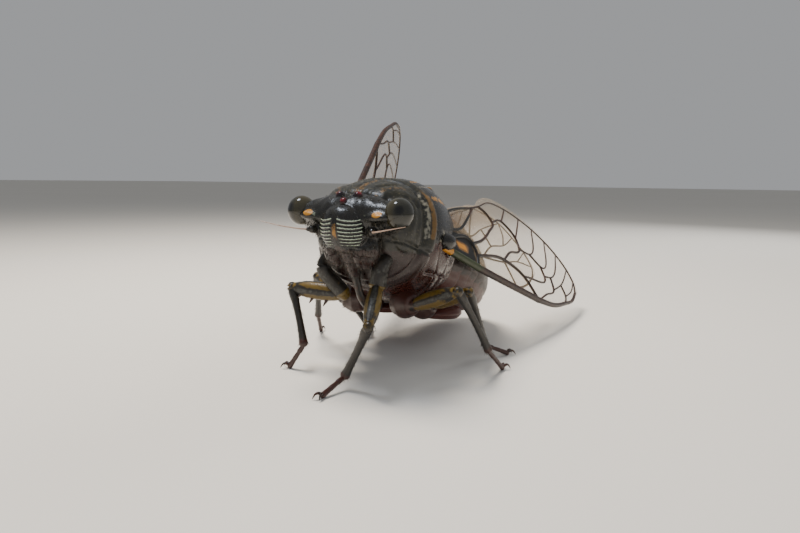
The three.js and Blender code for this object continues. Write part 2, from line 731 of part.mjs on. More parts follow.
addNode("mesothorax", fuse(mesothorax(), cross()), "cuticle");
addNode("pronotum", carve(pronotum(), mesothorax(GAP)), "collar");
addNode("head", carve(fuse(head(), ...faceRibs(), ...ocelli()), pronotum(GAP)), "cuticle");
addNode("abdomen", carve(abdomen(), mesothorax(GAP), cross(GAP)), "belly");
addNode("beak", carve(beak(), head(GAP), wideThorax), "leg");

for (const [word, side] of [["left", 1], ["right", -1]]) {
  addNode("eye_" + word, carve(eye(side), head(GAP), pronotum(GAP)), "eye");
  addNode("antenna_" + word, carve(feeler(side), head(GAP), eye(side, GAP)), "foot");
  const hind = coxa(LEGS["hind_" + word], GAP);
  addNode("operculum_" + word, carve(operculum(side), abdomen(GAP), mesothorax(GAP), hind), "belly");
}

for (const [name, leg] of Object.entries(LEGS)) {
  addNode("coxa_" + name, carve(coxa(leg), wideThorax, head(GAP), beak(GAP)), "cuticle");
  const armed = name.startsWith("fore") ? teeth(leg).map((tooth) => carve(tooth, tibia(leg, GAP))) : [];
  addNode("femur_" + name, carve(fuse(femur(leg), ...armed), coxa(leg, GAP), wideThorax), "leg");
  addNode("tibia_" + name, carve(tibia(leg), femur(leg, GAP)), "leg");
  addNode("tarsus_" + name, carve(tarsus(leg), tibia(leg, GAP)), "foot");
}

for (const [name, stand] of Object.entries(WINGS)) {
  addNode(name, carve(fuse(wing(stand), knuckle(stand)), wideThorax, abdomen(GAP)), "wing");
}

// The origin is the middle of the footprint of the whole, on the floor.
insect.updateMatrixWorld(true);
const whole = new THREE.Box3().setFromObject(insect, true);
insect.position.x = -(whole.min.x + whole.max.x) / 2;
insect.position.y = -(whole.min.y + whole.max.y) / 2;

const cicada = new THREE.Group();
cicada.add(insect);

export default cicada;
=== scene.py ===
# %% [markdown]
# # A cicada at life size
# The insect stands on six feet, its left wings half folded and its right wings raised.
# Everything is worked out in one body frame, in millimetres: +X to its left, +Y to its tail, +Z to its back.
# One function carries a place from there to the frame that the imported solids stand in, in metres.

# %% Load the frame
import math

import bpy
import numpy as np
from mathutils import Matrix, Vector
from mathutils.geometry import delaunay_2d_cdt

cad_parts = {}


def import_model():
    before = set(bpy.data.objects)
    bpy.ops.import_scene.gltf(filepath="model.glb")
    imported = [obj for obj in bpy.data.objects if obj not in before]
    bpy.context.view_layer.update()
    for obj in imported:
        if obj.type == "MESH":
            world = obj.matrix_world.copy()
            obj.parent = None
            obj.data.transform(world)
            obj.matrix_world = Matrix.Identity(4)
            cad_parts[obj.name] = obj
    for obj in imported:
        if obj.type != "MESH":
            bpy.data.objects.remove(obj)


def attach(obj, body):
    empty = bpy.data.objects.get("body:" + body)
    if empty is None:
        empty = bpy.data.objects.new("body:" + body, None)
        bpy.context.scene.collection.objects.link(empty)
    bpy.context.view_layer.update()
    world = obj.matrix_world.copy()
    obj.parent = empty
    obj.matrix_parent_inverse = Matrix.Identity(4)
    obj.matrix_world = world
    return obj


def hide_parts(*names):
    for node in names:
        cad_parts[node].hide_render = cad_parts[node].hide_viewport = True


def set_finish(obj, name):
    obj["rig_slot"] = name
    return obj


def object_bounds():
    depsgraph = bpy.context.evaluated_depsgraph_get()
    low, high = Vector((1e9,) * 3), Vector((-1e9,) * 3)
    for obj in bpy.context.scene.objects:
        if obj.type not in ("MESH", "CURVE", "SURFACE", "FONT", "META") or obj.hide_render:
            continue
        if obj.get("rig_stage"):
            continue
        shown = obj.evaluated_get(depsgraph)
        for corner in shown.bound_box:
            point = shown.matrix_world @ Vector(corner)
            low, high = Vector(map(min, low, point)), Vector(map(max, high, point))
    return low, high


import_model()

cad_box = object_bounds()
MM = 0.001
PITCH = math.radians(11)  # the head is carried this much above level
BODY_AT = (0.794, -12.087, 12.6)  # the body frame's origin, in millimetres from the middle of the footprint


def world(places):
    """Body frame, millimetres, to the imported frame, metres."""
    x, y, z = np.asarray(places, float).reshape(-1, 3).T
    back = y * math.cos(PITCH) + z * math.sin(PITCH)
    up = z * math.cos(PITCH) - y * math.sin(PITCH)
    return (np.stack([x, back, up], -1) + BODY_AT) * MM


def from_floor(x, y, z):
    """A place given from the floor under the body, in millimetres, to the body frame."""
    up = z - BODY_AT[2]
    c, s = math.cos(PITCH), math.sin(PITCH)
    return np.array([x, y * c - up * s, y * s + up * c])


def put(name, data):
    """A new object in the scene."""
    made = bpy.data.objects.new(name, data)
    bpy.context.collection.objects.link(made)
    return made


print("packed solids:", [round(v / MM, 1) for corner in cad_box for v in corner], "mm")

# %% [markdown]
# ## The camera
# The photograph is a close view from the insect's front left, a little above it. The camera is written as
# a place and three directions, because a macro view has strong perspective and its distance matters.

# %% Camera
CAMERA_AT = Vector((30.274, -70.787, 19.55)) * MM
CAMERA_RIGHT = Vector((0.9019, 0.4318, 0.0124))
CAMERA_UP = Vector((-0.0712, 0.1204, 0.9902))
CAMERA_BACK = Vector((0.4261, -0.8939, 0.1393))

lens = bpy.data.cameras.new("photo_view")
lens.lens = 27.4
lens.clip_start = 1 * MM
camera = put("photo_view", lens)
turn = Matrix((CAMERA_RIGHT, CAMERA_UP, CAMERA_BACK)).transposed().to_4x4()
camera.matrix_world = Matrix.Translation(CAMERA_AT) @ turn
bpy.context.scene.camera = camera

# %% [markdown]
# ## Materials
# An insect's shell is chitin: clear, hard and a little glossy, tanned brown to black, with coloured patches.
# Each piece carries one colour attribute called marks, worked out from places on the body. Its channels say
# how much ochre, pale, red and pile a place has, and noise breaks the edges up as pigment does.

# %% Node helper


def linear(code):
    """An sRGB hex colour as linear values."""
    parts = [int(code[i : i + 2], 16) / 255 for i in (1, 3, 5)]
    return tuple(v / 12.92 if v <= 0.04045 else ((v + 0.055) / 1.055) ** 2.4 for v in parts) + (1.0,)


def grain(size):
    """The noise scale whose features are this many millimetres across."""
    return 1 / (size * MM)


def add(tree, kind, settings, links=None):
    """Adds a node. Lower-case settings are its properties, others its sockets, and links name their sources."""
    made = tree.nodes.new(kind)
    for key, value in settings.items():
        if isinstance(key, str) and key[0].islower():
            setattr(made, key, value)
        else:
            made.inputs[key].default_value = value
    for key, source in (links or {}).items():
        tree.links.new(source, made.inputs[key])
    return made


def new_material(name):
    material = bpy.data.materials.new(name)
    material.use_nodes = True
    material.node_tree.nodes.clear()
    return material, material.node_tree


def marked(tree):
    """The place on a piece, and the four channels of its marks."""
    where = add(tree, "ShaderNodeTexCoord", {}).outputs["Object"]
    marks = add(tree, "ShaderNodeAttribute", {"attribute_name": "marks"}).outputs
    share = add(tree, "ShaderNodeSeparateColor", {}, {"Color": marks["Color"]}).outputs
    return where, [share["Red"], share["Green"], share["Blue"], marks["Alpha"]]


def noise(tree, where, size, detail, rough=0.5):
    """Noise from 0 to 1 whose features are this many millimetres across."""
    settings = {"Scale": grain(size), "Detail": detail, "Roughness": rough}
    return add(tree, "ShaderNodeTexNoise", settings, {"Vector": where}).outputs["Fac"]


def calc(tree, operation, *values):
    """Arithmetic on sockets and numbers."""
    fixed = {i: v for i, v in enumerate(values) if isinstance(v, (int, float))}
    sources = {i: v for i, v in enumerate(values) if i not in fixed}
    return add(tree, "ShaderNodeMath", {"operation": operation} | fixed, sources).outputs[0]


def ranged(tree, value, before=(0.0, 1.0), after=(0.0, 1.0), kind="LINEAR"):
    """A value carried from one range to another."""
    settings = {"interpolation_type": kind, 1: before[0], 2: before[1], 3: after[0], 4: after[1]}
    return add(tree, "ShaderNodeMapRange", settings, {"Value": value}).outputs["Result"]


def mix(tree, share, first, second):
    """A colour between two, each a hex colour or a socket."""
    ends = {6: first, 7: second}
    fixed = {key: linear(value) for key, value in ends.items() if isinstance(value, str)}
    sources = {key: value for key, value in ends.items() if key not in fixed}
    return add(tree, "ShaderNodeMix", {"data_type": "RGBA"} | fixed, {0: share} | sources).outputs[2]


def bumped(tree, height, strength, depth):
    """A normal tipped by a height. depth is in millimetres."""
    settings = {"Strength": strength, "Distance": depth * MM}
    return add(tree, "ShaderNodeBump", settings, {"Height": height}).outputs["Normal"]


def surface(tree, settings, links):
    """The shader of a material, joined to its output."""
    skin = add(tree, "ShaderNodeBsdfPrincipled", settings, links)
    add(tree, "ShaderNodeOutputMaterial", {}, {"Surface": skin.outputs[0]})


# %% Chitin
CHITIN_IOR = 1.56
FINE_GRAIN = 0.16
SPECK_GRAIN = 0.32


def chitin(name, ground, deep, rough, colours, mottle_size=0.9, pits=0.16, coat=0.1):
    """colours are ochre, pale, red and pile, as the four channels of marks."""
    material, tree = new_material(name)
    where, shares = marked(tree)
    mottle = noise(tree, where, mottle_size, 6.0, 0.65)
    fine = noise(tree, where, FINE_GRAIN, 3.0, 0.6)
    speck = noise(tree, where, SPECK_GRAIN, 4.0, 0.7)
    colour = mix(tree, ranged(tree, mottle, (0.4, 0.6)), ground, deep)
    for code, amount, broken_by in zip(colours, shares, (mottle, mottle, mottle, speck)):
        edge = calc(tree, "MULTIPLY_ADD", broken_by, 1.1, -0.55)
        cover = ranged(tree, calc(tree, "ADD", amount, edge), (0.42, 0.62), kind="SMOOTHSTEP")
        colour = mix(tree, cover, colour, code)
    dull = ranged(tree, shares[3], after=(rough, min(rough + 0.35, 0.9)))
    worn = ranged(tree, speck, (0.35, 0.7), (-0.08, 0.12))
    relief = calc(tree, "MULTIPLY_ADD", fine, 0.45, speck)
    surface(
        tree,
        {"IOR": CHITIN_IOR, "Coat Weight": coat, "Coat Roughness": 0.18},
        {
            "Base Color": colour,
            "Roughness": calc(tree, "ADD", dull, worn),
            "Normal": bumped(tree, relief, pits, 0.12),
        },
    )
    return material


OCHRE = "#9A6A1E"
PILE = "#6A655C"
head_chitin = chitin(
    "glossy_black_chitin", "#0B0A09", "#16140E", 0.28, [OCHRE, "#A9B49C", "#2A140E", PILE]
)
collar_chitin = chitin(
    "mottled_olive_chitin", "#0F0F0B", "#232114", 0.3, ["#5C421A", "#747062", "#24110C", PILE], 0.45
)
back_chitin = chitin(
    "black_back_chitin", "#0A0908", "#15120D", 0.22, [OCHRE, "#A8A08C", "#33140D", PILE], 1.2
)
belly_chitin = chitin(
    "red_brown_belly_chitin", "#180B07", "#2A130C", 0.36, [OCHRE, "#8C806E", "#451A10", PILE], 1.3
)
leg_chitin = chitin(
    "olive_leg_chitin", "#14110D", "#211B13", 0.34, ["#5E4A16", "#7A6430", "#341810", "#42413B"], 0.4
)
claw_chitin = chitin(
    "dark_claw_chitin", "#120B08", "#26150D", 0.22, [OCHRE, OCHRE, "#3B1F15", PILE], 0.6, 0.1
)
feeler_chitin = chitin(
    "thin_feeler_chitin", "#14110D", "#241D14", 0.3, [OCHRE, "#A98F7E", "#3B1F15", PILE], 0.4, 0.1
)

# %% [markdown]
# ## Eyes, ocelli, hairs and wings
# A compound eye is a dome of thousands of clear lenses over dark pigment, so it is glossy with a faint grid.
# The lenses are 0.03 mm across, too fine to show, so the grid is drawn about three times as coarse.
# A wing is a clear film of chitin held by tubes. It tints what is behind it and shines at a low angle.

# %% Eye, ocellus and hair materials


def eye_lens(name, colours, cell):
    """colours are two grounds, the dark middle and the rim. cell is the size of the lens grid in millimetres."""
    light, dark, *over = colours
    material, tree = new_material(name)
    where, shares = marked(tree)
    cells = add(tree, "ShaderNodeTexVoronoi", {"Scale": grain(cell)}, {"Vector": where}).outputs["Distance"]
    colour = mix(tree, noise(tree, where, 0.8, 3.0), light, dark)
    for code, amount in zip(over, shares):
        colour = mix(tree, amount, colour, code)
    links = {"Base Color": colour, "Normal": bumped(tree, cells, 0.12, 0.02)}
    surface(tree, {"Roughness": 0.12, "IOR": CHITIN_IOR}, links)
    return material


def plain_fibre(name, dark, light, rough):
    """A hair finish: two colours in soft noise."""
    material, tree = new_material(name)
    where = add(tree, "ShaderNodeTexCoord", {}).outputs["Object"]
    share = ranged(tree, noise(tree, where, 0.5, 2.0), (0.35, 0.65))
    surface(tree, {"Roughness": rough, "IOR": CHITIN_IOR}, {"Base Color": mix(tree, share, dark, light)})
    return material


lens_finish = eye_lens("compound_eye_lens", ["#2B2A22", "#171712", "#050504", "#332F20"], 0.1)
ocellus_finish = eye_lens("ruby_ocellus_lens", ["#3A0A0E", "#24060A", "#581419", "#120A10"], 0.3)
pile_finish = plain_fibre("silver_pile", "#3B362D", "#77715F", 0.5)
bristle_finish = plain_fibre("black_bristle", "#15120E", "#33291C", 0.4)

# %% Wing materials


def wing_film(name):
    """Clear film. marks hold smoke in red, black base in green and orange in blue."""
    material, tree = new_material(name)
    where, (smoke, black, orange, _) = marked(tree)
    colour = mix(tree, smoke, "#C9B08C", "#7A6249")
    for code, amount in (("#0E0C09", black), ("#B8761A", orange)):
        colour = mix(tree, amount, colour, code)
    solid = calc(tree, "MAXIMUM", black, orange)
    surface(
        tree,
        {"IOR": CHITIN_IOR},
        {
            "Base Color": colour,
            "Alpha": calc(tree, "MAXIMUM", ranged(tree, smoke, after=(0.16, 0.42)), solid),
            "Roughness": ranged(tree, solid, after=(0.16, 0.5)),
            "Normal": bumped(tree, noise(tree, where, 1.6, 4.0, 0.6), 0.35, 0.1),
        },
    )
    return material


film_finish = wing_film("clear_wing_film")
vein_finish = chitin(
    "wing_vein_chitin", "#21140D", "#372116", 0.42, ["#B87A1C", "#2C3416", "#0D0B08", PILE], 0.6, 0.12, 0
)

# %% [markdown]
# ## Shapes from a distance field
# The head and thorax are one swollen shell with no edges. A distance field says how far a place is from the
# surface, and fields melt into each other with a soft minimum, so a brow can flow into an eye stalk.
# Surface nets turn the field into an even mesh of quads: one vertex in each cell that the surface crosses.
# Each vertex then slides down the field onto the true surface, which brings out grooves finer than the cells.

# %% Field parts
LEAN = 0.12  # the plates of the thorax lean back by this much for each millimetre of height
ROUND_END = 0.5


def soft_min(a, b, k):
    h = np.clip(0.5 + 0.5 * (b - a) / k, 0, 1)
    return b * (1 - h) + a * h - k * h * (1 - h)


def soft_max(a, b, k):
    return -soft_min(-a, -b, k)


def turned(places, centre, tilt=0.0, turn_by=0.0):
    """Places in a part's own frame: its centre at zero, its turn and then its tilt undone, in degrees."""
    x, y, z = (places - np.asarray(centre, float)).T
    c, s = math.cos(math.radians(turn_by)), math.sin(math.radians(turn_by))
    x, y = c * x + s * y, c * y - s * x
    c, s = math.cos(math.radians(tilt)), math.sin(math.radians(tilt))
    y, z = c * y + s * z, c * z - s * y
    return np.stack([x, y, z], -1)


def egg(places, centre, half, tilt=0.0, turn_by=0.0):
    q = turned(places, centre, tilt, turn_by)
    r = np.asarray(half, float)
    near = np.linalg.norm(q / r, axis=1) + 1e-9
    steep = np.linalg.norm(q / r**2, axis=1) + 1e-9
    return near * (near - 1) / steep


def smooth_rows(rows, count=80):
    """A profile's rows as many rows, along a smooth curve through them."""
    rows = np.asarray(rows, float)
    slope = np.gradient(rows, rows[:, 0], axis=0)
    at = np.linspace(rows[0, 0], rows[-1, 0], count)
    i = np.clip(np.searchsorted(rows[:, 0], at, "right") - 1, 0, len(rows) - 2)
    width = (rows[i + 1, 0] - rows[i, 0])[:, None]
    t = ((at - rows[i, 0])[:, None] / width).clip(0, 1)
    value = rows[i] * (1 + 2 * t) * (1 - t) ** 2 + rows[i + 1] * t * t * (3 - 2 * t)
    return value + width * (slope[i] * t * (1 - t) ** 2 - slope[i + 1] * t * t * (1 - t))


def upright_y(places):
    """The place along the body, less the lean of the plates."""
    return places[:, 1] - LEAN * (places[:, 2] - 1)


def barrel(places, rows, power):
    """A length of trunk. rows are place along the body, half width, top and bottom."""
    table = smooth_rows(rows)
    x, _, z = places.T
    y = upright_y(places)
    half, top, bottom = (np.interp(y, table[:, 0], table[:, k]) for k in (1, 2, 3))
    middle, height = (top + bottom) / 2, (top - bottom) / 2
    around = (np.abs(x / half) ** power + np.abs((z - middle) / height) ** power) ** (1 / power)
    side = (around - 1) * np.minimum(half, height)
    end = np.maximum(rows[0][0] - y, y - rows[-1][0])
    return soft_max(side, end, ROUND_END)


def bell(value, width):
    """1 at zero and falling off on both sides."""
    return np.exp(-((value / width) ** 2))


def crease(places, start, end, width, plane=(0, 1)):
    """1 on a line between two places and falling off beside it, seen along the axis that plane leaves out."""
    q = places[:, plane]
    a, b = np.asarray(start, float), np.asarray(end, float)
    t = np.clip((q - a) @ (b - a) / ((b - a) @ (b - a)), 0, 1)
    away = np.linalg.norm(q - a - t[:, None] * (b - a), axis=1)
    return bell(away, width)


def spot(places, centre, radius, soft=0.35):
    """1 inside an oval patch, 0 outside."""
    away = np.linalg.norm((places - np.asarray(centre, float)) / np.asarray(radius, float), axis=1)
    return np.clip((1 - away) / soft + 0.5, 0, 1)


def window(value, low, high, soft=0.3):
    """1 between two values, 0 outside."""
    return np.clip(np.minimum(value - low, high - value) / soft + 0.5, 0, 1)


def mirrored(places):
    """The left half's place for a place on either side."""
    return np.stack([np.abs(places[:, 0]), places[:, 1], places[:, 2]], -1)


def channels(*values):
    """Values side by side for each vertex, such as its four marks."""
    return np.stack(np.broadcast_arrays(*values), -1)


# %% Surface nets


def slide(points, field, rounds=3, reach=0.02):
    """Moves points down the field's slope onto its surface, and gives the slope there."""
    slope = np.zeros_like(points)
    for _ in range(rounds):
        here = field(points)
        for axis in range(3):
            step = np.zeros(3)
            step[axis] = reach
            slope[:, axis] = (field(points + step) - field(points - step)) / (2 * reach)
        steep = np.maximum((slope**2).sum(1), 0.05)
        points = points - slope * (np.clip(here, -0.4, 0.4) / steep)[:, None]
    return points, slope / np.maximum(np.linalg.norm(slope, axis=1), 1e-9)[:, None]


def evened(points, faces, share):
    """Points drawn towards the middle of their neighbours."""
    total, count = np.zeros_like(points), np.zeros(len(points))
    for k in range(4):
        a, b = faces[:, k], faces[:, (k + 1) % 4]
        for one, other in ((a, b), (b, a)):
            np.add.at(total, one, points[other])
            np.add.at(count, one, 1)
    return points * (1 - share) + share * total / np.maximum(count, 1)[:, None]


def net(field, low, high, step):
    """A closed mesh of quads where the field is zero. Inside is negative."""
    low, high = np.asarray(low, float), np.asarray(high, float)
    counts = np.ceil((high - low) / step).astype(int) + 1
    axes = [low[i] + step * np.arange(counts[i]) for i in range(3)]
    grid = np.stack(np.meshgrid(*axes, indexing="ij"), -1).reshape(-1, 3)
    inside = np.concatenate([field(part) < 0 for part in np.array_split(grid, 16)]).reshape(counts)
    ends = [(slice(0, n - 1), slice(1, n)) for n in counts]
    corners = sum(inside[i, j, k].astype(int) for i in ends[0] for j in ends[1] for k in ends[2])
    crossed = (corners > 0) & (corners < 8)
    number = np.full(crossed.shape, -1)
    number[crossed] = np.arange(crossed.sum())
    points = low + step * (np.argwhere(crossed) + 0.5)
    quads = []
    for axis in range(3):
        a, b = [(1, 2), (2, 0), (0, 1)][axis]
        first = inside.take(range(counts[axis] - 1), axis)
        second = inside.take(range(1, counts[axis]), axis)
        at = np.argwhere(first != second)
        leaves = first[tuple(at.T)]
        back_a, back_b = np.eye(3, dtype=int)[a], np.eye(3, dtype=int)[b]
        around = [at - back_a - back_b, at - back_b, at, at - back_a]
        quad = np.stack([number[tuple(c.T)] for c in around], -1)
        quads.append(np.where(leaves[:, None], quad, quad[:, ::-1]))
    faces = np.concatenate(quads)
    for _ in range(3):
        points, _ = slide(evened(points, faces, 0.6), field, 1)
    return points, faces


def divided(points, faces):
    """Each quad cut into four."""
    edges = np.sort(np.concatenate([faces[:, (k, (k + 1) % 4)] for k in range(4)]), axis=1)
    unique, which = np.unique(edges, axis=0, return_inverse=True)
    which = which.reshape(4, len(faces)) + len(points)
    middle = len(points) + len(unique) + np.arange(len(faces))
    more = [points, points[unique].mean(1), points[faces].mean(1)]
    quads = [np.stack([faces[:, k], which[k], middle, which[k - 1]], -1) for k in range(4)]
    return np.concatenate(more), np.concatenate(quads)


# %% Pieces
TRUNK_FROM = -13
TRUNK_SPAN = 42


def set_marks(mesh, marks):
    layer = mesh.color_attributes.new("marks", "FLOAT_COLOR", "POINT")
    layer.data.foreach_set("color", np.clip(marks, 0, 1).astype(np.float32).ravel())


def new_piece(name, points, faces, finish, marks=None, extra=None, in_world=False):
    """An object at the origin. marks are a colour for each vertex, extra other values by name."""
    mesh = bpy.data.meshes.new(name)
    places = np.asarray(points, float) if in_world else world(points)
    mesh.from_pydata(places.tolist(), [], [list(map(int, f)) for f in faces])
    mesh.polygons.foreach_set("use_smooth", np.ones(len(mesh.polygons), bool))
    if marks is not None:
        set_marks(mesh, marks)
    for key, value in (extra or {}).items():
        value = np.asarray(value, np.float32)
        kind, slot_name = ("FLOAT", "value") if value.ndim == 1 else ("FLOAT_VECTOR", "vector")
        layer = mesh.attributes.new(key, kind, "POINT")
        layer.data.foreach_set(slot_name, value.ravel())
    mesh.materials.append(finish)
    return put(name, mesh)


def keep(piece, slot, *nodes):
    """The piece rides on the one body, takes a slot of the record and stands for its nodes."""
    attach(piece, "root")
    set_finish(piece, slot)
    if nodes:
        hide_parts(*nodes)
    print(piece.name, len(piece.data.vertices), "vertices")


def in_frame(directions):
    """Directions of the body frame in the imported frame."""
    return (world(directions) - world(np.zeros((1, 3)))) / MM


def lie_back(slope, direction):
    """The direction that pile lies in: a heading drawn flat onto the surface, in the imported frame."""
    flat = direction - slope * (direction * slope).sum(1)[:, None]
    flat /= np.maximum(np.linalg.norm(flat, axis=1), 1e-6)[:, None]
    return in_frame(flat)


def unwrapped(points):
    """A place for each vertex on an unwrap of the trunk: the angle about its length, and the place along it."""
    angle = np.arctan2(points[:, 0], points[:, 2] - 0.5) / (2 * math.pi) + 0.5
    along = (points[:, 1] - TRUNK_FROM) / TRUNK_SPAN
    return channels(angle, along * 0.5, 0)


def shell(name, field, low, high, step, finish, paint, pile, lie):
    """A field as a piece: net, one division, and its marks and pile worked out on the final points."""
    points, faces = divided(*net(field, low, high, step))
    points, slope = slide(points, field, 3)
    marks = paint(points, slope)
    extra = {
        "pile": pile(points, slope),
        "lie": lie_back(slope, lie(points)),
        "unwrap": unwrapped(points),
    }
    return new_piece(name, points, faces, finish, marks, extra)


# %% [markdown]
# ## The head
# A cicada's head is a wide bar with an eye at each end. The swollen front houses the muscles that suck sap,
# and each muscle shows outside as a pale rib with a dark groove below it. Beneath it the face narrows to the beak.
# The ribs and grooves are in the field itself, so they are real relief and keep their place from any side.

# %% Head sizes
HEAD_WIDTH = 13.4
EYE_RADIUS = 1.36
EYE_AT = np.array([HEAD_WIDTH / 2 - EYE_RADIUS, -8.95, 2.28])
EYE_HALF = EYE_RADIUS * np.array([1.0, 1.06, 1.08])
FACE_AT = np.array([0.0, -9.35, 0.55])
FACE_HALF = np.array([2.4, 1.95, 2.5])
FACE_TILT = 34
RIB_TOP = 1.9
RIB_PITCH = 0.345
RIB_COUNT = 9
OCELLI = [(0.0, -9.94, 3.06), (0.95, -9.16, 3.78), (-0.95, -9.16, 3.78)]
OCELLUS = 0.47
SPOT_AT = (3.7, -9.95, 1.9)


def face_frame(places):
    """On the swollen face: the angle out from its middle line, and the place down it."""
    q = turned(places, FACE_AT, FACE_TILT)
    angle = np.degrees(np.arctan2(np.abs(q[:, 0]), -q[:, 1]))
    return angle, q[:, 2] + 0.008 * angle, q


def ribs(places):
    """1 on a rib of the face and 0 in the groove between two."""
    angle, down, _ = face_frame(places)
    row = (RIB_TOP - down) / RIB_PITCH
    wave = 0.5 + 0.5 * np.cos(2 * math.pi * row)
    rows = window(row, -0.5, RIB_COUNT - 0.5, 0.4)
    length = 84 - 2.6 * np.clip(row, 0, RIB_COUNT)
    return wave, rows * window(angle, 11, length, 6)


def head_field(places):
    p = mirrored(places)
    vertex = egg(p, (0, -8.0, 2.0), (5.5, 2.45, 2.2))
    stalk = egg(p, (4.1, -8.6, 2.15), (1.6, 1.35, 1.15))
    bar = soft_min(vertex, stalk, 0.5)
    brow = egg(p, (3.3, -9.55, 1.75), (1.6, 0.85, 0.55), 12, -14)
    bar = soft_min(bar, brow, 0.35)
    swollen = egg(places, FACE_AT, FACE_HALF, FACE_TILT)
    chin = egg(places, (0, -7.54, -1.53), (1.4, 1.25, 2.4), 52)
    lip = egg(places, (0, -6.95, -3.15), (0.62, 0.6, 1.1), 50)
    front = soft_min(soft_min(swollen, chin, 0.35), lip, 0.3)
    cheek = egg(p, (1.6, -7.7, -0.9), (1.4, 1.5, 2.1), 10)
    lorum = egg(p, (1.35, -8.3, -1.5), (0.8, 1.1, 1.6), 35, 10)
    sides = soft_min(cheek, lorum, 0.1)
    d = soft_min(bar, sides, 0.5)
    d = soft_min(d, front, 0.12)
    socket = egg(p, (2.9, -9.3, 0.55), (0.62, 0.5, 0.6))
    d = soft_min(d, socket, 0.12)
    wave, there = ribs(places)
    d = d - 0.09 * there * (wave - 0.45)
    angle, _, face = face_frame(places)
    seam = bell(face[:, 2] + 1.85 + 0.12 * face[:, 0] ** 2, 0.11) * window(angle, -1, 75, 8)
    seam += 0.8 * bell(face[:, 2] + 3.3, 0.1) * window(angle, -1, 60, 8)
    d = d + 0.09 * seam
    middle = crease(p, (0, -9.7), (0, -5.8), 0.14) * window(places[:, 2], 2.0, 6.0)
    fork = crease(p, (0.3, -9.7), (2.0, -7.4), 0.13) * window(places[:, 2], 2.6, 6.0)
    d = d + 0.1 * middle + 0.09 * fork
    crown = window(places[:, 2], 2.2, 6.0, 0.6)
    ripple = np.sin(4.3 * p[:, 0] + 1.2 * p[:, 1]) * np.sin(3.7 * p[:, 1] + 0.8)
    return d - 0.035 * crown * ripple


def head_paint(places, slope):
    p = mirrored(places)
    _, down, face = face_frame(places)
    wave, there = ribs(places)
    ochre = spot(p, SPOT_AT, (0.55, 0.9, 0.36))
    stripe = window(np.abs(face[:, 0]), -1, 0.24, 0.12) * window(face[:, 2], -0.5, 1.6, 0.4)
    stripe = stripe * (slope[:, 1] < -0.2)
    fleck = 0.2 * window(places[:, 2], 2.6, 5, 0.5) * window(p[:, 0], 1.3, 5.0, 0.6)
    ochre = np.maximum(np.maximum(ochre, 0.5 * stripe), fleck)
    fading = 1 - 0.45 * window(down, -9, RIB_TOP - 6 * RIB_PITCH, 1.2)
    pale = 0.95 * there * fading * np.clip((wave - 0.74) / 0.18, 0, 1)
    # A painted highlight: this pale patch on each side of the brow, in front of the ochre spot, stands for the
    # sky's reflection on the glossy plate. It is carried in the pale channel with the ribs.
    pale = np.maximum(pale, 0.4 * spot(p, (2.75, -10.2, 1.8), (0.5, 0.8, 0.2)))
    red = 0.66 * window(places[:, 2], -6.5, -0.9, 0.8) * (1 - there)
    return channels(ochre, pale, red, 0.1 * window(places[:, 2], -7, -1.2, 0.8))


def head_pile(places, slope):
    p = mirrored(places)
    _, there = ribs(places)
    low = window(places[:, 2], -8, -0.9, 0.8)
    side = window(p[:, 0], 2.4, 7, 0.6) * window(places[:, 2], -3, 1.2, 0.5)
    bare = spot(p, SPOT_AT, (0.7, 1.2, 0.5)) >= 0.5
    return np.clip(np.maximum(low, side) + 0.08, 0, 1) * (1 - there) * ~bare


def head_lie(places):
    down = channels(0.25 * np.sign(places[:, 0]), 0.35, -1.0)
    crown = channels(0.2 * places[:, 0], 1.0, 0.0)
    return np.where((places[:, 2] > 2.2)[:, None], crown, down)


HEAD_LOW = (-6.81, -12.29, -4.85)
HEAD_HIGH = (6.8, -4.9, 5.0)
head = shell(
    "head_capsule", head_field, HEAD_LOW, HEAD_HIGH, 0.14, head_chitin, head_paint, head_pile, head_lie
)
keep(head, "head_cuticle", "head")

# %% Eyes


def ring_quads(rings, sides, first=0):
    """Quads between rings of points that follow each other in a list."""
    i, j = np.divmod(np.arange((rings - 1) * sides), sides)
    here, ahead, after = first + i * sides, first + (i + 1) * sides, (j + 1) % sides
    return list(zip(here + j, here + after, ahead + after, ahead + j))


def fan(middle, ring, sides):
    """Triangles from a middle point to a ring of points."""
    return [(middle, ring + (j + 1) % sides, ring + j) for j in range(sides)]


def other_way(faces):
    """Faces turned to look the other way, each with the same first corner."""
    return [(f[0], *f[:0:-1]) for f in faces]


def dome(name, centre, half, finish, paint, rings=36, sides=56):
    """A closed egg with a pole at each end, for eyes, ocelli and hinges."""
    rise = np.linspace(0, math.pi, rings + 1)[1:-1]
    round_ = np.linspace(0, 2 * math.pi, sides, endpoint=False)
    unit = [(math.sin(r) * math.cos(a), math.sin(r) * math.sin(a), math.cos(r)) for r in rise for a in round_]
    unit = np.array([(0, 0, 1.0)] + unit + [(0, 0, -1.0)])
    faces = other_way(fan(0, 1, sides) + ring_quads(rings - 1, sides, 1))
    faces += fan(len(unit) - 1, 1 + (rings - 2) * sides, sides)
    return new_piece(name, centre + unit * half, faces, finish, paint(unit))


PUPIL_TO = np.array([0.42, -0.88, 0.12])
for word, side in (("left", 1), ("right", -1)):

    def eye_paint(unit, side=side):
        towards = PUPIL_TO * (side, 1, 1) / np.linalg.norm(PUPIL_TO)
        pupil = np.clip((unit @ towards - 0.93) / 0.05, 0, 1)
        rim = np.clip((0.12 - unit[:, 0] * side) / 0.2, 0, 1) * 0.8
        return channels(pupil, rim, 0, 0)

    eye = dome("eye_lens_" + word, EYE_AT * (side, 1, 1), EYE_HALF, lens_finish, eye_paint)
    keep(eye, "eye", "eye_" + word)


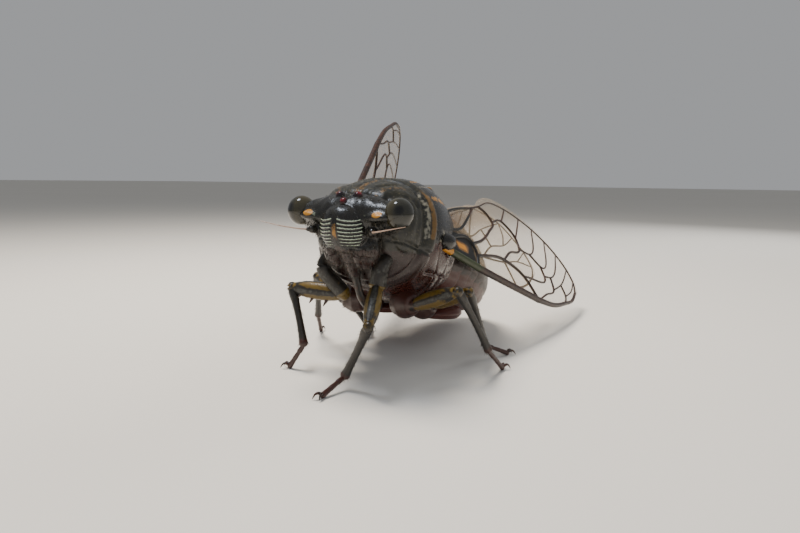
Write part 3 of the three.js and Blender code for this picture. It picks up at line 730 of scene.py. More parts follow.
def ocellus_paint(unit, at):
    """A red middle that looks out of the head, and a dark rim around it."""
    out = np.array(at) - (0, -8.4, 2.4)
    facing = unit @ (out / np.linalg.norm(out))
    rim = np.clip((0.66 - facing) / 0.12, 0, 1)
    return channels(np.clip((facing - 0.8) / 0.15, 0, 1), rim, 0, 0)


for i, at in enumerate(OCELLI):
    size = np.full(3, OCELLUS)
    ocellus = dome(
        "ocellus_" + str(i), np.array(at), size, ocellus_finish, lambda unit, at=at: ocellus_paint(unit, at), 18, 24
    )
    keep(ocellus, "eye")

# %% [markdown]
# ## Limbs as lofts
# A leg, a feeler and the beak are tubes whose width changes along them. Each is lofted: rings of points around
# a smooth line, closed by rounded ends. The ring count and the line are all the shape there is, so a loft keeps
# the joints crisp where a distance field would blur them.

# %% Lofts


def smooth_line(points, steps):
    """Places along a smooth curve through points."""
    points = np.asarray(points, float)
    return smooth_rows(np.column_stack([np.arange(len(points)), points]), steps)[:, 1:]


def limb(points, radii, sides=20, steps=24, flat=1.0, up=(0, 0, 1), keel=0.0, round_end=0.9):
    """Rings around a smooth line: gives points, faces, the share around and along, and the line's direction."""
    line = smooth_line(points, steps)
    radius = smooth_line(np.asarray(radii, float)[:, None], steps)[:, 0]
    along = np.gradient(line, axis=0)
    along /= np.linalg.norm(along, axis=1)[:, None]
    caps = [(math.cos(a), math.sin(a)) for a in np.linspace(0.25, math.pi / 2, 5)[:-1]]
    rows = [(line[0] - along[0] * radius[0] * c * round_end, along[0], radius[0] * s) for c, s in caps]
    rows += list(zip(line, along, radius))
    caps.reverse()
    rows += [(line[-1] + along[-1] * radius[-1] * c * round_end, along[-1], radius[-1] * s) for c, s in caps]
    angle = np.linspace(0, 2 * math.pi, sides, endpoint=False)
    rings, heading = [], []
    for centre, forward, r in rows:
        across = np.cross(forward, up)
        across /= np.linalg.norm(across)
        over = np.cross(across, forward)
        swell = r * (1 + keel * np.abs(np.sin(angle)) ** 6)
        ring = centre + np.outer(np.cos(angle) * swell * flat, across)
        rings.append(ring + np.outer(np.sin(angle) * swell, over))
        heading += [forward] * sides
    n = len(rings)
    tips = [rows[0][0] - rows[0][1] * 0.02], [rows[-1][0] + rows[-1][1] * 0.02]
    places = np.concatenate([*rings, *tips])
    faces = ring_quads(n, sides) + fan(n * sides, 0, sides)
    faces += other_way(fan(n * sides + 1, (n - 1) * sides, sides))
    around = np.concatenate([np.tile(angle / (2 * math.pi), n), [0, 0]])
    share = np.concatenate([np.repeat(np.linspace(0, 1, n), sides), [0, 1]])
    heading = np.array(heading + [rows[0][1], rows[-1][1]])
    corners = [(f[0], f[k], f[k + 1]) for f in faces for k in range(1, len(f) - 1)]
    if sum(places[a] @ np.cross(places[b], places[c]) for a, b, c in corners) < 0:
        faces = [f[::-1] for f in faces]
    return {"points": places, "faces": faces, "around": around, "along": share, "heading": heading}


def joined(parts):
    """Several lofts as one set of points and faces."""
    start = np.cumsum([0] + [len(p["points"]) for p in parts])
    faces = [tuple(k + s for k in f) for p, s in zip(parts, start) for f in p["faces"]]
    return np.concatenate([p["points"] for p in parts]), faces


# %% Feelers and beak
for word, side in (("left", 1), ("right", -1)):
    flip = np.array([side, 1, 1])
    line = np.array([(2.9, -9.2, 0.45), (3.1, -9.6, 0.4), (3.3, -10.0, 0.35)]) * flip
    base = limb(line, [0.46, 0.4, 0.36], 16, 10)
    bulb = limb(np.array([(3.3, -10.0, 0.35), (3.5, -10.35, 0.3)]) * flip, [0.26, 0.2], 14, 6)
    line = np.array([(3.4, -10.2, 0.32), (4.1, -11.1, 0.25), (5.6, -12.1, 0.35), (7.8, -12.6, 0.7)]) * flip
    bristle = limb(line, [0.1, 0.08, 0.055, 0.02], 10, 40)
    points, faces = joined([base, bulb, bristle])
    tones = ((base, 0.0), (bulb, 0.2), (bristle, 1.0))
    tone = np.concatenate([np.full(len(part["points"]), t) for part, t in tones])
    marks = channels(0, tone, 0.3, 0)
    feeler = new_piece("feeler_" + word, points, faces, feeler_chitin, marks)
    keep(feeler, "antenna", "antenna_" + word)

beak_line = [(0, -6.6, -3.5), (0, -5.75, -4.7), (0, -4.7, -5.9), (0, -3.2, -6.7), (0, -1.0, -7.1)]
beak_loft = limb(beak_line, [0.44, 0.4, 0.38, 0.34, 0.18], 20, 48)
dark_tip = np.clip((beak_loft["along"] - 0.75) / 0.2, 0, 1)
marks = channels(0.4 * (1 - dark_tip), 0, 0.45, 0.05)
beak = new_piece("sap_beak", beak_loft["points"], beak_loft["faces"], leg_chitin, marks)
keep(beak, "beak_cuticle", "beak")

# %% [markdown]
# ## The thorax
# Two rings of plates carry the legs and wings. The first ends in a raised collar that flares over the wing
# roots. The second is a smooth dome that ends in a raised cross. The grooves are where muscles hold on inside.

# %% First ring and collar
PRONOTUM = [
    [-8.2, 3.4, 4.6, 1.6],
    [-7.3, 4.6, 5.3, 0.2],
    [-6.4, 5.5, 5.75, -1.6],
    [-5.2, 5.9, 6.2, -3.2],
    [-4.4, 6.1, 6.5, -4.2],
    [-3.4, 6.75, 6.9, -4.7],
    [-2.5, 6.8, 7.0, -4.9],
]
MESOTHORAX = [
    [-2.8, 6.0, 6.8, -5.0],
    [-0.6, 6.35, 7.4, -5.6],
    [1.8, 6.3, 7.45, -6.0],
    [4.6, 5.9, 6.8, -5.8],
    [7.4, 5.4, 5.3, -5.0],
]
COLLAR_FROM = -4.3
COLLAR_TO = -2.5


def pronotum_field(places):
    p = mirrored(places)
    y = upright_y(places)
    d = barrel(places, PRONOTUM, 2.27) + 0.04
    above = window(places[:, 2], -1.5, 9, 1.0)
    grooves = crease(p, (1.0, -8.0), (2.7, -4.9), 0.24) + crease(p, (3.2, -7.4), (5.2, -4.9), 0.26)
    grooves += 0.8 * crease(p, (0.25, -7.6), (0.3, -4.7), 0.2)
    front_of_collar = bell(y - COLLAR_FROM, 0.2)
    ripple = np.sin(3.1 * p[:, 0] + 2.2 * y) * np.sin(3.6 * y - 1.4 * p[:, 0] + 1)
    d = d + above * (0.16 * grooves * (y < COLLAR_FROM) + 0.03 * ripple) + 0.2 * front_of_collar
    pleura = bell(places[:, 2] + 1.6 + 0.25 * y, 0.22)
    return d + 0.16 * pleura * (p[:, 0] > 3)


def pronotum_paint(places, slope):
    p = mirrored(places)
    y = upright_y(places)
    above = window(places[:, 2], -0.6, 9, 0.8)
    side = window(places[:, 2], 0.2, 5.4, 0.8)
    streak = window(y, -3.72, -3.1, 0.15)
    bands = window(y, -4.2, -3.8, 0.15) + 0.8 * window(y, -3.05, COLLAR_TO, 0.15)
    ochre = above * 0.3 + side * 0.34 * streak
    ochre += 0.2 * above * (crease(p, (2.1, -7.8), (3.6, -5.0), 0.3) + window(p[:, 0], -1, 0.4, 0.3))
    pale = 0.3 * above + 0.22 * side * bands
    corner = spot(p, (6.4, -3.2, -0.4), (1.4, 1.6, 1.0))
    ochre, pale = ochre * (1 - corner), pale * (1 - corner)
    red = 0.7 * window(places[:, 2], -7, -0.8, 0.8)
    hair = 0.32 * above + 0.06 * window(places[:, 2], -7, -1.2, 0.8)
    return channels(ochre, pale, red, hair)


def trunk_pile(places, slope):
    low = window(places[:, 2], -8, 1.5, 2.0)
    return 0.55 - 0.35 * low


def trunk_lie(places):
    fall = np.where(places[:, 2] > 2, 0.25, 0.8)
    return channels(0.15 * places[:, 0] / 6, 1.0, -fall)


pronotum = shell(
    "first_thorax_ring",
    pronotum_field,
    (-7.6, -9.6, -5.8),
    (7.6, -1.0, 7.8),
    0.2,
    collar_chitin,
    pronotum_paint,
    trunk_pile,
    trunk_lie,
)
keep(pronotum, "pronotum_cuticle", "pronotum")

# %% Second ring with its cross


def cross(p, width):
    """1 on the arms of the raised cross."""
    arms = crease(p, (2.7, 3.9), (0.0, 5.9), width) + crease(p, (0.0, 5.9), (2.4, 7.4), width)
    return np.clip(arms, 0, 1)


def mesothorax_field(places):
    p = mirrored(places)
    d = barrel(places, MESOTHORAX, 2.22) + 0.03
    top = window(places[:, 2], 3.4, 9, 0.6)
    d = d - 0.34 * cross(p, 0.5) * top
    pit = spot(p, (1.5, 5.9, 6.3), (0.9, 0.8, 2.0), 0.8) + 0.8 * spot(p, (0.0, 4.1, 7.0), (0.7, 1.0, 2.0), 0.8)
    d = d + 0.2 * pit * top
    lines = crease(p, (1.2, -2.4), (1.5, 1.4), 0.16) + crease(p, (3.6, -2.4), (3.2, 2.2), 0.16)
    d = d + 0.06 * lines * top
    plates = crease(p, (-0.6, 0.6), (1.6, -6.2), 0.2, (1, 2)) + crease(p, (3.4, 0.4), (2.6, -6.2), 0.2, (1, 2))
    plates += crease(p, (-1.5, -2.6), (4.5, -2.9), 0.2, (1, 2))
    low = window(places[:, 2], -8, 0.4, 0.6) * window(p[:, 0], 2.5, 9, 0.8)
    swell = np.sin(1.9 * p[:, 1] + 0.6) * np.sin(1.5 * p[:, 2])
    return d + low * (0.2 * plates - 0.12 * swell)


def mesothorax_paint(places, slope):
    p = mirrored(places)
    above = window(places[:, 2], 2.2, 9, 0.6)
    bars = crease(p, (2.3, -2.0), (2.6, 2.0), 0.42) + crease(p, (4.9, -1.8), (5.0, 2.8), 0.4)
    ochre = above * 0.58 * np.clip(bars, 0, 1)
    ochre = np.maximum(ochre, 0.7 * cross(p, 0.4) * above)
    pale = np.maximum(window(places[:, 1], 5.4, 8, 0.7), crease(p, (3.3, -2.0), (3.7, 1.6), 0.25))
    pale = above * 0.5 * pale
    wing_root = spot(p, (6.2, -0.3, 1.2), (1.2, 1.0, 1.4))
    pale = np.maximum(pale, 0.4 * wing_root)
    red = 0.85 * window(places[:, 2], -8, 0.6, 1.0)
    hair = 0.1 * window(places[:, 2], -8, 0.4, 1.2) + 0.4 * above * window(places[:, 1], 3.4, 9, 0.8)
    return channels(ochre, pale, red, hair)


mesothorax = shell(
    "second_thorax_ring",
    mesothorax_field,
    (-7.2, -4.6, -7.0),
    (7.2, 9.0, 8.6),
    0.2,
    back_chitin,
    mesothorax_paint,
    lambda p, s: np.clip(trunk_pile(p, s) * np.where(p[:, 2] > 3, 0.35, 1), 0, 1),
    trunk_lie,
)
keep(mesothorax, "mesothorax_cuticle", "mesothorax")

# %% [markdown]
# ## The abdomen
# Each segment is a ring of armour that slips over the next like a telescope. Its hind edge is raised, a little
# paler and hairier. The rings are lofted in a loop from one profile, bent to the left at the tip as it stands.

# %% Abdomen sizes
ABDOMEN_START = 7.0
ABDOMEN_LENGTH = 18.0
ABDOMEN_BEND = 1.2
SEGMENTS = 8
STEP = 0.28
ABDOMEN = smooth_rows(
    [
        [0.0, 5.2, 4.6, -5.2],
        [0.12, 5.9, 5.2, -5.9],
        [0.35, 6.0, 4.6, -6.5],
        [0.6, 5.4, 2.8, -6.9],
        [0.82, 4.0, 0.2, -6.8],
        [0.95, 2.2, -2.6, -6.2],
        [1.0, 1.0, -3.9, -5.5],
    ]
)


def abdomen_shape():
    sides, per_segment = 120, 12
    angle = np.linspace(0, 2 * math.pi, sides, endpoint=False)
    rings, tones = [], []
    ahead = 1.2  # the first ring starts inside the thorax
    for i in range(SEGMENTS):
        for k in range(per_segment):
            t = k / (per_segment - 1)
            s = (i + 0.02 + 0.96 * t) / SEGMENTS
            lift = -STEP * (1 - 0.5 * s) * (1 - min(t / 0.85, 1) ** 0.6) - 0.1 * max(t - 0.93, 0) / 0.07
            half, top, bottom = (np.interp(s, ABDOMEN[:, 0], ABDOMEN[:, c]) for c in (1, 2, 3))
            middle, height = (top + bottom) / 2, (top - bottom) / 2
            x = np.sign(np.cos(angle)) * np.abs(np.cos(angle)) ** 0.95 * (half + lift)
            z = np.sign(np.sin(angle)) * np.abs(np.sin(angle)) ** 0.95
            fold = -0.22 * bell(z + 0.35, 0.09)
            x = x * (1 + fold / half)
            y = ABDOMEN_START + ABDOMEN_LENGTH * s + 0.08 * height * z
            y = y - (ahead * (1 - t) if i == 0 else 0)
            rings.append(np.stack([x + ABDOMEN_BEND * s * s, y, middle + (height + lift) * z], -1))
            tones += [(t, s, h) for h in z]
    points = np.concatenate(rings + [[rings[0].mean(0)], [rings[-1].mean(0) + (0, 0.2, 0)]])
    n = len(rings)
    faces = other_way(ring_quads(n, sides) + fan(n * sides, 0, sides))
    faces += fan(n * sides + 1, (n - 1) * sides, sides)
    tones = np.array(tones + [(0, 0, 0), (1, 1, 0)])
    return points, faces, tones


points, faces, tones = abdomen_shape()
t, s, h = tones.T
edge = window(t, 0.78, 1.1, 0.12)
below = window(h, -2, -0.3, 0.2)
ochre = 0.3 * edge * (1 - below)
pale = 0.2 * edge
red = np.clip(0.9 * below + 0.35 * edge, 0, 1)
hair = np.clip(0.08 + 0.26 * edge, 0, 1)
out = channels(points[:, 0], 0, points[:, 2] + 1)
out /= np.maximum(np.linalg.norm(out, axis=1), 1e-6)[:, None]
extra = {
    "pile": np.clip(0.25 + 0.5 * edge, 0, 1) * (t < 0.99),
    "lie": lie_back(out, np.tile([0.0, 1.0, -0.15], (len(points), 1))),
    "unwrap": unwrapped(points),
}
abdomen = new_piece("abdomen_rings", points, faces, belly_chitin, channels(ochre, pale, red, hair), extra)
keep(abdomen, "abdomen_cuticle", "abdomen")

# %% Sound covers under the abdomen
COVER_HALF = (2.95, 3.6, 0.85)
COVER_TILT = 6
COVER_TURN = 14
for word, side in (("left", 1), ("right", -1)):
    at = (side * 3.2, 8.0, -6.7)

    def cover_field(places, at=at, side=side):
        d = egg(places, at, COVER_HALF, COVER_TILT, side * COVER_TURN)
        q = turned(places, at, COVER_TILT, side * COVER_TURN)
        return d - 0.12 * bell(np.linalg.norm(q[:, :2] / COVER_HALF[:2], axis=1) - 0.86, 0.08)

    def cover_paint(places, slope):
        rim = np.abs(slope[:, 2])
        return channels(0.35 * (1 - rim), 0.1 * rim, 0.8, 0.05)

    low = np.array(at) - (4.0, 4.4, 1.7)
    high = np.array(at) + (4.0, 4.4, 1.8)
    cover = shell(
        "sound_cover_" + word, cover_field, low, high, 0.2, belly_chitin, cover_paint, trunk_pile, trunk_lie
    )
    keep(cover, "operculum_cuticle", "operculum_" + word)

# %% [markdown]
# ## Six legs
# Each leg has a thick base, a small yellow ring, a thigh, a slim bowed shin and a foot of three joints that ends
# in two claws. Their joints are given from the floor, because that is where the feet have to be. One leg is one
# piece, so no seam shows, and its parts overlap inside the joints as the real plates do.

# %% Leg sizes
LEGS = {
    "fore_left": {
        "coxa": [(3.0, -5.4, -1.3), (2.9, -6.7, -2.6)],
        "coxa_radii": [0.7, 0.78, 0.82],
        "joints": [(2.6, -7.45, 9.35), (4.2, -12.1, 6.6), (1.1, -11.0, 1.25), (0.6, -14.0, 0.3)],
        "thick": [0.92, 0.45, 0.3],
    },
    "fore_right": {
        "coxa": [(-3.3, -5.5, -1.3), (-3.7, -6.5, -3.2)],
        "coxa_radii": [0.7, 0.72, 0.78],
        "joints": [(-2.2, -5.55, 7.95), (-8.2, -6.2, 8.25), (-5.6, -7.9, 2.7), (-7.2, -8.1, 0.3)],
        "thick": [0.92, 0.45, 0.3],
    },
    "mid_left": {
        "coxa": [(2.3, -0.4, -5.8), (3.3, -0.8, -5.95)],
        "coxa_radii": [1.5, 1.6, 1.1],
        "joints": [(4.3, -2.6, 6.9), (9.8, -4.4, 9.1), (11.9, -0.6, 2.5), (12.7, 1.7, 0.3)],
        "thick": [0.85, 0.42, 0.28],
    },
    "mid_right": {
        "coxa": [(-2.3, -0.4, -5.8), (-3.3, -0.6, -5.9)],
        "coxa_radii": [1.5, 1.6, 1.1],
        "joints": [(-4.3, -2.2, 6.9), (-9.4, 0.4, 8.4), (-12.0, 4.6, 2.6), (-12.9, 6.6, 0.3)],
        "thick": [0.85, 0.42, 0.28],
    },
    "hind_left": {
        "coxa": [(2.5, 3.4, -5.9), (3.6, 3.4, -6.1)],
        "coxa_radii": [1.45, 1.5, 1.05],
        "joints": [(4.6, 2.0, 6.2), (9.5, -0.2, 8.4), (9.7, 5.2, 1.5), (11.6, 7.4, 0.3)],
        "thick": [0.8, 0.42, 0.28],
    },
    "hind_right": {
        "coxa": [(-2.5, 3.4, -5.9), (-3.6, 3.5, -6.1)],
        "coxa_radii": [1.45, 1.5, 1.05],
        "joints": [(-4.6, 2.4, 6.2), (-9.0, 2.4, 7.9), (-6.3, 7.2, 1.6), (-7.2, 9.8, 0.3)],
        "thick": [0.8, 0.42, 0.28],
    },
}
CLAW_SPREAD = 0.42
CLAW_LINE = [(0.05, 0.36), (0.4, 0.56), (0.72, 0.52), (1.0, 0.14)]  # how far from the toe, and how high


def way(a, b, share):
    """The place this share of the way from a to b."""
    return a + (b - a) * share


def leg_parts(leg, front):
    """Lofts of one leg, each with the marks of its own plate."""
    root, middle = (np.array(p) for p in leg["coxa"])
    hip, knee, ankle, toe = (from_floor(*p) for p in leg["joints"])
    thigh, shin, foot = leg["thick"]
    parts = []

    def part(loft, ochre=0.0, pale=0.0, red=0.0, hair=0.0, pile=0.5):
        full = np.ones(len(loft["points"]))
        loft["marks"] = channels(ochre * full, pale, red, hair)
        loft["pile"] = pile * full
        parts.append(loft)

    line = [root, middle, way(middle, hip, 0.86)]
    loft = limb(line, leg["coxa_radii"], 28, 26, keel=0.05, round_end=0.35)
    length = np.clip(np.cos(6 * math.pi * loft["around"]) * 3 + 0.5, 0, 1)
    if front:
        part(loft, ochre=0.3 * length, red=0.25, hair=0.5 * (1 - 0.5 * length))
    else:
        part(loft, red=0.85, hair=0.05)
    wide, ochre, pale, red = (leg["coxa_radii"][2], 0.75, 0.25, 0.0) if front else (thigh, 0.4, 0.0, 0.5)
    line = [way(middle, hip, s) for s in (0.88, 0.95, 1.02)]
    part(limb(line, np.array([1.0, 1.03, 0.84]) * wide, 24, 10), ochre, pale, red, pile=0.1)
    seat = limb([way(middle, hip, 0.98), way(hip, knee, 0.05)], [0.62 * thigh, 0.6 * thigh], 20, 6)
    part(seat, red=0.3, pile=0.0)

    line = [way(hip, knee, s) for s in (0.03, 0.16, 0.4, 0.7, 0.95)]
    loft = limb(line, np.array([0.6, 0.86, 1.0, 0.92, 0.58]) * thigh, 32, 40, 0.84, keel=0.04)
    height, s = np.sin(2 * math.pi * loft["around"]), loft["along"]
    ends = 1 - window(s, 0.1, 0.9, 0.08)
    top_band = np.clip((height - 0.86) / 0.1, 0, 1)
    stripe = np.clip(bell(height + 0.2, 0.34) + top_band, 0, 1) * (1 - ends)
    far = np.clip((s - 0.62) / 0.2, 0, 1) * (1 - ends)
    ochre = np.clip(0.85 * (1 - stripe) * (1 - 0.5 * far) + 0.2 * ends, 0, 1)
    hair = 0.55 * np.clip(stripe + 0.5 * far, 0, 1)
    part(loft, ochre, 0.25 * ends, 0.3 * far, hair, 0.4 + 0.4 * stripe)
    line = [way(hip, knee, 0.95), knee, way(knee, ankle, 0.05)]
    part(limb(line, np.array([0.55, 0.62, 0.5]) * thigh, 24, 12, 0.9), ochre=0.45, pale=0.28, red=0.3, pile=0.2)

    bow = np.cross(knee - ankle, (1, 0, 0))
    bow = 0.18 * bow / np.linalg.norm(bow)
    line = [way(knee, ankle, s) + bow * 4 * s * (1 - s) for s in (0.03, 0.12, 0.3, 0.6, 0.85, 0.97)]
    loft = limb(line, np.array([1.0, 1.12, 0.88, 0.82, 0.9, 1.08]) * shin, 24, 44)
    s = loft["along"]
    far = window(s, 0.85, 2, 0.1)
    ochre = 0.4 * (1 - window(s, 0.1, 0.92, 0.08)) + 0.22
    part(loft, ochre, red=0.3 + 0.4 * far, hair=0.12 * (1 - far), pile=0.8)
    for start, end, wide in ((0.02, 0.3, 0.95), (0.3, 0.64, 0.9), (0.64, 1.0, 1.0)):
        line = [way(ankle, toe, start), way(ankle, toe, (start + end) / 2), way(ankle, toe, end)]
        part(limb(line, np.array([0.78, 0.9, 0.99]) * foot * wide, 18, 12), red=0.75, hair=0.1, pile=0.0)
    pad = from_floor(*leg["joints"][3][:2], 0.26)
    part(limb([pad, pad + (0, 0.02, 0.0)], [0.26, 0.26], 16, 3), red=0.6, pile=0.0)
    return parts


def claws(leg):
    """Two hooks at the toe, each bent down to the floor."""
    (from_x, from_y, _), (x, y, _) = leg["joints"][2:]
    heading = math.atan2(x - from_x, from_y - y)
    hooks = []
    for aim in (heading - CLAW_SPREAD, heading + CLAW_SPREAD):
        line = [from_floor(x + far * math.sin(aim), y - far * math.cos(aim), z) for far, z in CLAW_LINE]
        hooks.append(limb(line, [0.17, 0.15, 0.1, 0.035], 12, 16))
    return hooks


def thigh_teeth(leg):
    """Lofts of the three teeth under a fore thigh."""
    hip, knee, ankle = (from_floor(*p) for p in leg["joints"][:3])
    along = (knee - hip) / np.linalg.norm(knee - hip)
    under = ankle - knee
    under = under - along * (under @ along)
    under /= np.linalg.norm(under)
    teeth = []
    for i, share in enumerate((0.28, 0.55, 0.8)):
        wide = leg["thick"][0] * (0.75 if share > 0.7 else 0.95)
        start = hip + (knee - hip) * share + under * wide * 0.35
        end = start + under * (wide * 0.55 + 0.72 - 0.12 * i) + along * 0.35
        line = [start, (start + end) / 2 - along * 0.06, end]
        teeth.append(limb(line, [0.32, 0.2, 0.05], 14, 12, up=tuple(along)))
    return teeth


# %% Legs
legs = []
for number, (name, leg) in enumerate(LEGS.items()):
    front = name.startswith("fore")
    parts = leg_parts(leg, front)
    points, faces = joined(parts)
    marks, pile, around, heading = (
        np.concatenate([p[key] for p in parts]) for key in ("marks", "pile", "around", "heading")
    )
    along = np.concatenate([(k + p["along"]) / len(parts) for k, p in enumerate(parts)])
    extra = {
        "pile": pile,
        "lie": in_frame(heading),
        "unwrap": channels((number + 0.9 * around) / len(LEGS), 0.55 + 0.44 * along, 0),
    }
    limb_piece = new_piece("leg_" + name, points, faces, leg_chitin, marks, extra)
    keep(limb_piece, "femur_cuticle", *(word + "_" + name for word in ("coxa", "femur", "tibia", "tarsus")))
    legs.append(limb_piece)
    points, faces = joined(claws(leg) + (thigh_teeth(leg) if front else []))
    hooks = new_piece("claws_" + name, points, faces, claw_chitin, np.tile([0, 0, 0.5, 0], (len(points), 1)))
    keep(hooks, "foot")

# %% [markdown]
# ## Wings
# A wing is a net of tubes with film stretched over each mesh. The net is written flat, in millimetres along the
# wing and across it, and one function bends it and stands it on the body. The same function places the film,
# so film and veins cannot part. The film is cut from one outline and given a real thickness.

# %% Wing nets
FORE = {
    "camber_at": -6,
    "junctions": {
        "hinge": (0.0, 0.3),
        "basal": (6.4, 0.7),
        "node": (20.4, 0.9),
        "stigma": (29.6, -1.3),
        "tip": (36.6, -5.3),
        "rim7": (37.9, -7.6),
        "rim6": (37.3, -9.8),
        "rim5": (35.0, -11.8),
        "rim4": (32.0, -13.1),
        "rim3": (28.4, -13.9),
        "rim2": (24.4, -14.1),
        "rim1": (20.2, -13.9),
        "corner": (11.5, -10.3),
        "claval": (9.6, -9.2),
        "heel": (0.2, -3.4),
        "anal": (0.1, -2.2),
        "stem": (0.1, -0.9),
        "media": (6.9, -1.1),
        "cubitus": (6.4, -2.5),
        "fork": (13.6, -2.8),
        "bend": (13.9, -8.8),
        "step": (17.1, -10.3),
        "low": (19.7, -8.5),
        "high": (19.5, -6.6),
        "radial": (17.9, -1.8),
        "ulnar1": (22.4, -6.9),
        "ulnar2": (24.9, -5.8),
        "ulnar3": (25.1, -4.2),
        "apical1": (27.4, -4.8),
        "apical2": (26.9, -2.6),
        "apical3": (30.8, -4.7),
        "apical4": (31.1, -2.9),
    },
    # Radius of the vein at its start and end, film beyond it, and its places
    "edge": [
        (0.42, 0.4, 0.05, ["hinge", "basal", (13.0, 0.85), "node"]),
        (0.38, 0.2, 0.05, ["node", (25.0, 0.3), "stigma", (33.4, -2.9), "tip"]),
        (0.13, 0.1, 0.8, ["tip", "rim7", "rim6", "rim5", "rim4", "rim3", "rim2", "rim1", (15.6, -12.9), "corner"]),
        (0.14, 0.2, 0.3, ["corner", "claval", (6.3, -7.6), (3.0, -5.7), "heel"]),
        (0.2, 0.3, 0.1, ["heel", "anal", "stem", "hinge"]),
    ],
    "veins": [
        (0.3, 0.2, ["stem", "cubitus", "media", "basal"]),
        (0.22, 0.17, ["media", "fork", "radial", "node"]),
        (0.2, 0.16, ["cubitus", (9.0, -3.9), (12.0, -6.5), "bend", (13.1, -9.9), "corner"]),
        (0.2, 0.15, ["anal", (4.5, -3.8), (7.2, -6.4), "claval"]),
        (0.17, 0.15, ["fork", (15.9, -4.7), "high", "low", "step", "bend"]),
        (0.13, 0.09, ["step", "rim1"]),
        (0.13, 0.09, ["low", "rim2"]),
        (0.14, 0.09, ["high", "ulnar1", "rim3"]),
        (0.14, 0.09, ["ulnar1", "ulnar2", "rim4"]),
        (0.14, 0.14, ["ulnar2", "ulnar3", "radial"]),
        (0.14, 0.09, ["ulnar3", "apical1", "rim5"]),
        (0.14, 0.14, ["apical1", "apical2", (23.6, -0.9), "node"]),
        (0.14, 0.09, ["apical2", "apical3", "rim6"]),
        (0.13, 0.13, ["apical3", "apical4", "stigma"]),
        (0.13, 0.09, ["apical4", (34.7, -4.9), "rim7"]),
    ],
}
HIND = {
    "camber_at": -4,
    "junctions": {
        "hinge": (0.0, 0.4),
        "node": (14.5, 0.3),
        "tip": (20.6, -3.8),
        "rim6": (21.3, -5.6),
        "rim5": (20.3, -7.7),
        "rim4": (18.2, -9.4),
        "rim3": (15.4, -10.7),
        "rim2": (12.0, -10.6),
        "rim1": (8.8, -9.9),
        "lobe": (5.8, -8.0),
        "heel": (0.2, -2.7),
        "anal": (0.1, -1.8),
        "stem": (0.1, -0.7),
        "fork": (7.5, -1.6),
        "radial": (13.0, -3.0),
        "apical": (17.0, -4.7),
        "media": (10.5, -4.4),
        "ulnar": (14.2, -6.2),
        "cubitus": (5.5, -3.8),
        "bend": (9.2, -6.6),
        "jugal": (2.4, -3.2),
    },
    "edge": [
        (0.24, 0.15, 0.05, ["hinge", (5.0, 0.8), (10.5, 0.9), "node", (18.0, -1.5), "tip"]),
        (0.1, 0.08, 0.6, ["tip", "rim6", "rim5", "rim4", "rim3", "rim2", "rim1", "lobe"]),
        (0.1, 0.14, 0.25, ["lobe", (3.0, -6.0), (1.0, -4.1), "heel"]),
        (0.14, 0.2, 0.1, ["heel", "anal", "stem", "hinge"]),
    ],
    "veins": [
        (0.16, 0.08, ["stem", "fork", "radial", "apical", "rim6"]),
        (0.12, 0.1, ["radial", "node"]),
        (0.13, 0.08, ["fork", "media", "ulnar", "rim4"]),
        (0.1, 0.08, ["apical", "rim5"]),
        (0.13, 0.08, ["anal", "jugal", "cubitus", "bend", "rim3"]),
        (0.1, 0.1, ["media", "bend"]),
        (0.1, 0.08, ["ulnar", (15.2, -8.4), "rim3"]),
        (0.11, 0.08, ["cubitus", (7.0, -7.0), "rim1"]),
        (0.1, 0.08, ["jugal", (4.2, -5.6), "lobe"]),
    ],
}
WINGS = {
    "forewing_left": {"plan": FORE, "side": 1, "root": (6.3, 0.5, 0.6), "turns": (18, -11.5, -57), "swing": 0},
    "forewing_right": {"plan": FORE, "side": -1, "root": (6.5, 0.5, 0.2), "turns": (14, 43.6, 93), "swing": 0},
    "hindwing_left": {"plan": HIND, "side": 1, "root": (5.4, 4.2, 0.8), "turns": (18, -11.5, -57), "swing": 3},
    "hindwing_right": {"plan": HIND, "side": -1, "root": (5.8, 4.3, 0.2), "turns": (14, 43.6, 93), "swing": -6},
}
CAMBER = 0.005
DROOP = 0.0016
DROOP_FROM = 15
FILM_HALF = 0.03


def stand_wing(wing, flat, lift):
    """Flat places along and across the wing, bent and stood on the body. lift is above the film's middle."""
    sweep, rise, twist = (math.radians(v) for v in wing["turns"])
    along = np.array([math.sin(sweep) * math.cos(rise), math.cos(sweep) * math.cos(rise), math.sin(rise)])
    level = np.array([math.cos(sweep), -math.sin(sweep), 0])
    across = level * math.cos(twist) + np.cross(level, along) * math.sin(twist)
    outward = np.cross(across, along)
    c, s = math.cos(math.radians(wing["swing"])), math.sin(math.radians(wing["swing"]))
    x, y = flat[:, 0] * c - flat[:, 1] * s, flat[:, 0] * s + flat[:, 1] * c
    bend = -CAMBER * (y - wing["plan"]["camber_at"]) ** 2 - DROOP * np.maximum(x - DROOP_FROM, 0) ** 2
    placed = np.array(wing["root"]) + np.outer(x, along) + np.outer(y, across) + np.outer(lift + bend, outward)
    return placed * (wing["side"], 1, 1)


def vein_line(plan, places, pitch=0.35):
    """A vein as even places along a smooth curve through its junctions."""
    knots = np.array([plan["junctions"][p] if isinstance(p, str) else p for p in places], float)
    if len(knots) == 2:
        count = max(3, round(np.linalg.norm(knots[1] - knots[0]) / pitch))
        return knots[0] + np.outer(np.linspace(0, 1, count), knots[1] - knots[0])
    gone = np.concatenate([[0], np.cumsum(np.linalg.norm(np.diff(knots, axis=0), axis=1))])
    return smooth_rows(np.column_stack([gone, knots]), max(4, round(gone[-1] / pitch)))[:, 1:]


# %% Vein tubes


